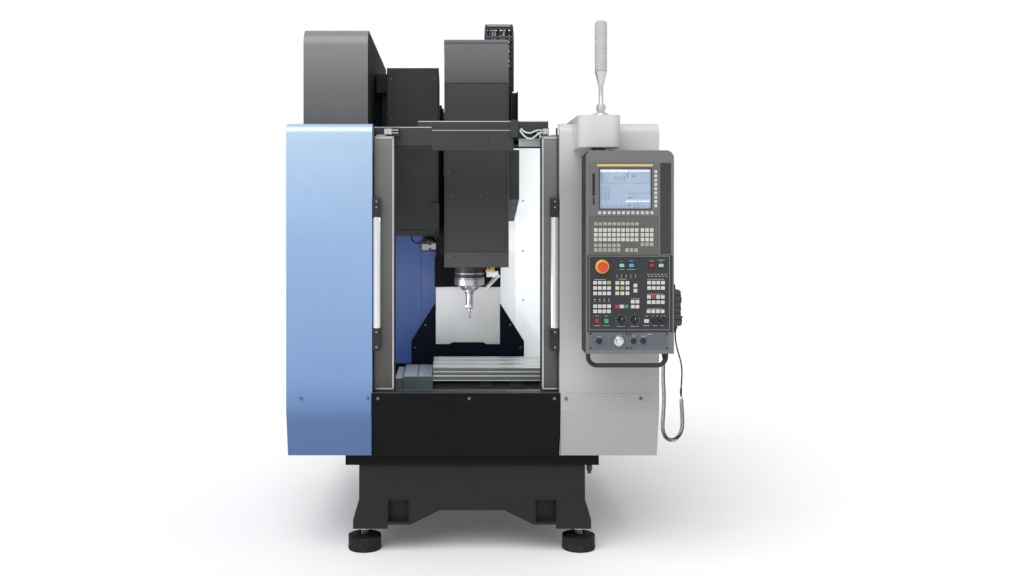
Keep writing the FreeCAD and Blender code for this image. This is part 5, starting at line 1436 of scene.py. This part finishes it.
def screen_picture():
    """The display: a pane, with its windows, rows and soft-key labels as raised film."""
    refined("panel_screen", 0.3, "screen")
    face = -1087.2

    def film(name, finish, bars):
        shape = Shape()
        for x0, x1, z0, z1 in bars:
            shape.box((x0, x1), (face - 0.25, face + 0.1), (z0, z1))
        finish_piece(shape, name, "operator_panel", finish, 0)

    film("screen_header", "light_bar", [(511, 622, 1662, 1672), (624, 713, 1663, 1671),
                                        (614, 713, 1541, 1546)])
    rows = [(514, 524, 1650 - 11 * k, 1653 - 11 * k) for k in range(3)]
    rows += [(514 + 14 * c, 522 + 14 * c, 1596 - 9 * k, 1598.5 - 9 * k)
             for c in range(3) for k in range(6)]
    rows += [(566 + 13 * c, 573 + 13 * c, 1640 - 9 * k, 1643 - 9 * k)
             for c in range(4) for k in range(2)]
    rows += [(640, 652, 1650, 1653), (640, 655, 1642, 1645), (619, 624, 1640, 1656)]
    rows += [(518 + 18.5 * k, 520 + 18.5 * k, 1519, 1530) for k in range(10)]
    rows += [(620, 634, 1526, 1530), (646, 668, 1519, 1520.2), (646, 668, 1529, 1530.2)]
    rows += [(514, 713, 1617, 1618), (618, 713, 1575, 1576), (618, 640, 1556, 1559)]
    film("screen_rows", "grey_bar", rows)
    film("screen_window", "light_bar", [(618, 713, 1549, 1550), (618, 619, 1550, 1575),
                                        (712, 713, 1550, 1575)])


COLOURED_KEYS = ((545.9, 1214, "key_lime"), (599.8, 1192, "key_lime"), (578.6, 1117.7, "key_red"),
                 (726, 1156, "key_red"), (615.8, 1117.7, "key_green"))


def key_finish(x, z):
    """Finish of a key from where it lies on the panel's face."""
    for key_x, key_z, finish in COLOURED_KEYS:
        if abs(x - key_x) < 6 and abs(z - key_z) < 6:
            return finish
    return "key_beige" if 1330 < z < 1375 or 1445 < z < 1460 else "key_white"


def keycap(shape, low, high, rise):
    """A key with a dished top and sloping sides, over the whole of its CAD block."""
    cx, cz = middle_of(low, high)
    hx, hz = (high.x - low.x) / 2, (high.z - low.z) / 2
    rings = []
    for inset, out in ((0, 0.3), (0, -0.6 * rise), (0.9, -rise), (2.0, -rise + 0.15),
                       (3.6, -rise + 0.45)):
        rings.append([(cx + sx * (hx - inset), FACE + out, cz + sz * (hz - inset))
                      for sx, sz in ((-1, -1), (1, -1), (1, 1), (-1, 1))])
    shape.rings(rings)


def panel_keys():
    """Every key, lamp, button and plate that the panel's face carries."""
    caps, marks, wells = {}, Shape(), Shape()
    rest = []
    for low, high in islands("panel_keys"):
        wide, tall, deep = high.x - low.x, high.z - low.z, high.y - low.y
        cx, cz = middle_of(low, high)
        if abs(deep - 2.5) < 0.6 and wide < 24:
            finish = key_finish(cx, cz)
            keycap(caps.setdefault(finish, Shape()), low, high, deep + 0.4)
            wells.box((low.x - 1.2, high.x + 1.2), (FACE - 0.9, FACE + 0.2),
                      (low.z - 1.2, high.z + 1.2))
            legend(marks, cx, cz, wide, FACE - deep - 0.1)
        else:
            rest.append((cx, cz, wide, tall, deep))
    stand = None
    for finish, shape in caps.items():
        piece = finish_piece(shape, f"keys_{finish}", "operator_panel", finish, 0.25)
        stand = stand or piece
    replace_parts(stand, "panel_keys")
    finish_piece(wells, "key_wells", "operator_panel", "seam", 0)
    finish_piece(marks, "key_legends", "operator_panel", "mark_dark", 0)
    for cx, cz, wide, tall, deep in rest:
        place_control(cx, cz, wide, tall, deep)


def legend(shape, x, z, wide, face):
    """Two or three short strokes, the look of a worn key legend without any letter."""
    for row in range(random.choice((1, 2, 2))):
        length = random.uniform(0.25, 0.5) * wide
        shift = random.uniform(-0.08, 0.08) * wide
        height = z + (1.6 if row else -1.4)
        shape.box((x + shift - length / 2, x + shift + length / 2), (face - 0.12, face + 0.1),
                  (height - 0.45, height + 0.45))


def place_control(x, z, wide, tall, deep):
    """Draws one control of the panel's face, told apart by its size and its place."""
    name = f"control_{int(x)}_{int(z)}"
    shape = Shape()
    if wide > 100:
        shape.box((x - wide / 2 - 1, x + wide / 2 + 1), (FACE - 2.4, FACE),
                  (z - tall / 2 - 3, z + tall / 2 + 3))
        finish_piece(shape, name, "operator_panel", "panel_plate", 1)
        plate_details(x, z, wide, tall)
    elif wide > 45:
        shape.lathe([(28, FACE), (28, FACE - 3), (26, FACE - 4.4), (20, FACE - 4.4)],
                    (x, 0, z), "y", 48)
        shape.lathe([(23, FACE - 2), (23, FACE - 11), (21.5, FACE - 12), (9, FACE - 12)],
                    (x, 0, z), "y", 48)
        finish_piece(shape, name, "operator_panel", "yellow", 0.4)
    elif z > 1270:
        finish = "blue_lamp" if 620 < x < 650 else "red_lamp" if 700 < x < 735 else "green_lamp"
        pushed_button(shape, name, x, z, (10, 7), 7, finish, "seam")
    elif x < 510 and z > 1040:
        pushed_button(shape, name, x, z, (9, 9), 6, "hold_red", "plastic")
    elif abs(x - 586) < 4:
        shape.lathe([(21, FACE - 2), (21, FACE - 6), (18, FACE - 9), (14, FACE - 9),
                     (13, FACE - 11), (13, FACE - 21), (11, FACE - 23), (0.1, FACE - 23)],
                    (x, 0, z), "y", 32)
        finish_piece(shape, name, "operator_panel", "chrome", 0.4)
    else:
        radius = wide / 2
        shape.lathe([(radius + 3, FACE), (radius + 3, FACE - 3), (radius + 1, FACE - 4.5),
                     (radius, FACE - 4.5), (radius * 0.92, FACE - deep),
                     (radius * 0.8, FACE - deep - 1), (0.1, FACE - deep - 1)],
                    (x, 0, z), "y", 28)
        finish_piece(shape, name, "operator_panel", "plastic", 0.4)


def pushed_button(shape, name, x, z, half, deep, cap, rim):
    """A square lamp or button: a crowned cap in a dark rim."""
    shape.box((x - half[0], x + half[0]), (FACE - deep, FACE), (z - half[1], z + half[1]))
    finish_piece(shape, name, "operator_panel", cap, 1.6, segments=3)
    outer = [(c - h - 2.6, c + h + 2.6) for c, h in ((x, half[0]), (z, half[1]))]
    inner = [(c - h - 0.2, c + h + 0.2) for c, h in ((x, half[0]), (z, half[1]))]
    edge = framed(Shape(), *outer, *inner, FACE - 0.45 * deep, FACE)
    finish_piece(edge, name + "_rim", "operator_panel", rim, 0.8)


def plate_details(x, z, wide, tall):
    """Outline, corner screws and dividing line of a lower plate."""
    lines = Shape()
    half_x, half_z = wide / 2 - 4, tall / 2 - 2
    for side in (-1, 1):
        lines.box(sorted((x + side * half_x, x + side * (half_x + 0.9))),
                  (FACE - 2.9, FACE - 2.3), (z - half_z + 6, z + half_z - 6))
        lines.box((x - half_x + 6, x + half_x - 6), (FACE - 2.9, FACE - 2.3),
                  sorted((z + side * half_z, z + side * (half_z + 0.9))))
    if x < 600:
        lines.box((x - 2, x - 1.2), (FACE - 2.9, FACE - 2.3), (z - half_z + 3, z + half_z - 3))
    finish_piece(lines, f"plate_lines_{int(x)}", "operator_panel", "panel_line", 0)
    heads = Shape()
    for sx in (-1, 1):
        for sz in (-1, 1):
            heads.screw((x + sx * (wide / 2 - 4), FACE - 2.2, z + sz * (tall / 2 - 1)), "y",
                        3.6, 2, -1)
    finish_piece(heads, f"plate_screws_{int(x)}", "operator_panel", "plastic", 0.2)


def face_marks():
    """Scale ticks and short bars that stand in for the panel's printed legends."""
    marks = Shape()

    def bar(x, z, wide, high=1.3):
        marks.box((x - wide / 2, x + wide / 2), (FACE - 1.45, FACE - 0.9),
                  (z - high / 2, z + high / 2))

    for x in (595, 649):
        for step in range(13):
            angle = math.radians(-150 + 300 * step / 12 + 90)
            near, far = 19.5, 22.5 if step % 3 else 24.5
            a = (x + near * math.cos(angle), FACE - 1.2, 1064 + near * math.sin(angle))
            b = (x + far * math.cos(angle), FACE - 1.2, 1064 + far * math.sin(angle))
            marks.tube([a, b], 0.5, 6)
        bar(x, 1037, 34)
    for x, z, wide in ((597, 1301, 5), (636, 1302, 17), (718, 1302, 16), (757, 1306, 28),
                       (757, 1300, 9), (597, 1268, 18), (636, 1268, 30), (497, 1079, 14),
                       (534, 1079, 14), (497, 1040, 26), (534, 1040, 26), (697, 1079, 14),
                       (697, 1040, 24), (732, 1040, 20), (762, 1040, 18), (510, 1227, 46),
                       (734, 1228, 70), (732, 1167.5, 66), (732, 1108, 60), (652, 1149, 36),
                       (600, 1228, 30)):
        bar(x, z, wide)
    for row, z in enumerate((1248, 1240)):
        for x in range(704, 776, 14):
            bar(x + 4 * row, z, 9, 1.6)
    for x in (488, 508, 527, 546):
        bar(x, 1146, 4, 4)
        bar(x, 1139, 9, 1.2)
    for x in (578, 596, 615, 634, 653):
        bar(x, 1243, 5, 1)
        marks.box((x - 0.5, x + 0.5), (FACE - 1.45, FACE - 0.9), (1232, 1247))
    for x in (723, 740, 757, 770):
        bar(x, 1080, 5, 2)
    for x, z, wide in ((506, 997, 14), (586, 999, 26), (645, 998, 12), (684, 998, 22),
                       (708, 1005, 20)):
        marks.box((x - wide / 2, x + wide / 2), (FACE - 3, FACE - 2.3), (z - 0.8, z + 0.8))
    finish_piece(marks, "face_marks", "operator_panel", "mark", 0)


def moving_controls():
    """The stop button, the cycle start button and the two override knobs."""
    low, high = corners("emergency_stop")
    (x, z), front = middle_of(low, high), low.y
    stop = Shape().lathe([(8, FACE + 12), (8, FACE - 14), (14, FACE - 15), (19, front + 15),
                (20, front + 12), (20, front + 5), (18.4, front + 1.6), (14, front + 0.3),
                (0.1, front)], (x, 0, z), "y", 48)
    for turn in range(3):
        angle = 2 * math.pi * turn / 3
        stop.tube([(x + 12 * math.cos(angle + k * 0.2), front + 0.2,
                    z + 12 * math.sin(angle + k * 0.2)) for k in range(4)], 0.7, 6)
    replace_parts(finish_piece(stop, "stop_cap", "emergency_stop", "stop_red", 0.5),
                "emergency_stop")
    low, high = corners("cycle_start_button")
    x, z = middle_of(low, high)
    start = Shape().box((low.x + 2, high.x - 2), (low.y, low.y + 6), (low.z + 2, high.z - 2))
    start.rod("y", 8, (x, 0, z), low.y + 5, high.y)
    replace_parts(finish_piece(start, "start_cap", "cycle_start_button", "start_green",
                             1.6, segments=3), "cycle_start_button")
    rim = Shape().box((low.x - 1.5, low.x + 1.2), (FACE - 5, FACE), (low.z - 1.5, high.z + 1.5))
    rim.box((high.x - 1.2, high.x + 1.5), (FACE - 5, FACE), (low.z - 1.5, high.z + 1.5))
    rim.box((low.x, high.x), (FACE - 5, FACE), (low.z - 1.5, low.z + 1.2))
    rim.box((low.x, high.x), (FACE - 5, FACE), (high.z - 1.2, high.z + 1.5))
    finish_piece(rim, "start_rim", "operator_panel", "plastic", 0.5)
    for name in ("feed_knob", "speed_knob"):
        low, high = corners(name)
        x, z = middle_of(low, high)
        knob = Shape()
        levels = ((5, FACE + 15), (5, FACE - 0.4), (14, FACE - 0.4), (14.4, FACE - 3),
                  (12.5, FACE - 6), (12, FACE - 19), (11, FACE - 20.5), (0.1, FACE - 20.5))
        knob.rings(turned(levels, 48, lambda k, r: 0.5 if k % 3 == 0 and 6 < r < 13 else 0,
                          lambda r, a, y: (x + r * math.sin(a), y, z + r * math.cos(a))))
        knob.box((x - 3, x + 3), (FACE - 24, FACE - 19), (z - 12.5, z + 12.5))
        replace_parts(finish_piece(knob, name + "_cap", name, "plastic", 0.6), name)
        line = Shape().box((x - 0.7, x + 0.7), (FACE - 24.3, FACE - 23.9), (z + 2, z + 12))
        finish_piece(line, name + "_line", name, "mark", 0)


def pulse_unit():
    """Hand-held pulse unit in its holder: body, belt ribs, stop cap, toggle and hand wheel."""
    low, high = corners("pulse_unit")
    right = corners("panel_housing")[1].x
    refined("pulse_unit", 3, "pulse_grey")
    ribs = Shape()
    top = high.z
    for row in range(5):
        z = top - 26 - row * 24
        ribs.box((right + 4, right + 31), (-1081.5, -979), (z, z + 5))
    ribs.box((right - 0.5, right + 9), (-1074, -984), (top - 6, top + 16))
    ribs.box((right + 2, right + 14), (-1050, -1008), (top + 8, top + 20))
    finish_piece(ribs, "pulse_unit_ribs", "operator_panel", "rubber", 1.5)
    cap = Shape()
    z = top - 44
    cap.lathe([(14.5, right + 29), (14.5, right + 33), (13, right + 34), (13, right + 41),
               (11, right + 43), (0.1, right + 43)], (0, PULSE_Y, z), "x", 32)
    finish_piece(cap, "pulse_stop_cap", "operator_panel", "stop_red", 0.6)
    low, high = corners("pulse_dial")
    middle = (low.z + high.z) / 2
    radius = (high.z - low.z) / 2
    wheel = Shape()
    face = high.x - 18
    levels = ((5, low.x), (5, face + 0.4), (radius - 1, face + 0.4), (radius, face + 2),
              (radius, face + 10), (radius - 2, face + 12), (radius - 6, face + 13),
              (0.1, face + 13))
    wheel.rings(turned(levels, 60, lambda k, r: 0.8 if k % 2 and r > radius - 1.5 else 0,
                       lambda r, a, x: (x, PULSE_Y + r * math.cos(a), middle + r * math.sin(a))))
    wheel.lathe([(4.5, face + 12), (3.6, face + 14), (5, face + 17.5), (0.1, face + 18)],
                (0, PULSE_Y, middle + radius * 0.62), "x", 20)
    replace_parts(finish_piece(wheel, "hand_wheel", "pulse_dial", "plastic", 0.3),
                "pulse_dial")


# ---------------------------------------------------------------- the whole machine

def build():
    """The camera, the lights and the floor, then every part of the machine."""
    camera()
    studio()
    palette()
    cords()
    floor()
    plain_skins()
    for part in (strips, screws, guard_folds, door_details, header_details, side_details,
                 bed_details, head_details, spindle_details, coolant_details, table_details,
                 apron_details, changer_details, chain_details, magazine_details, changer_link, signal_lamp,
                 panel_body, screen_picture, panel_keys, face_marks, moving_controls, pulse_unit):
        part()


build()
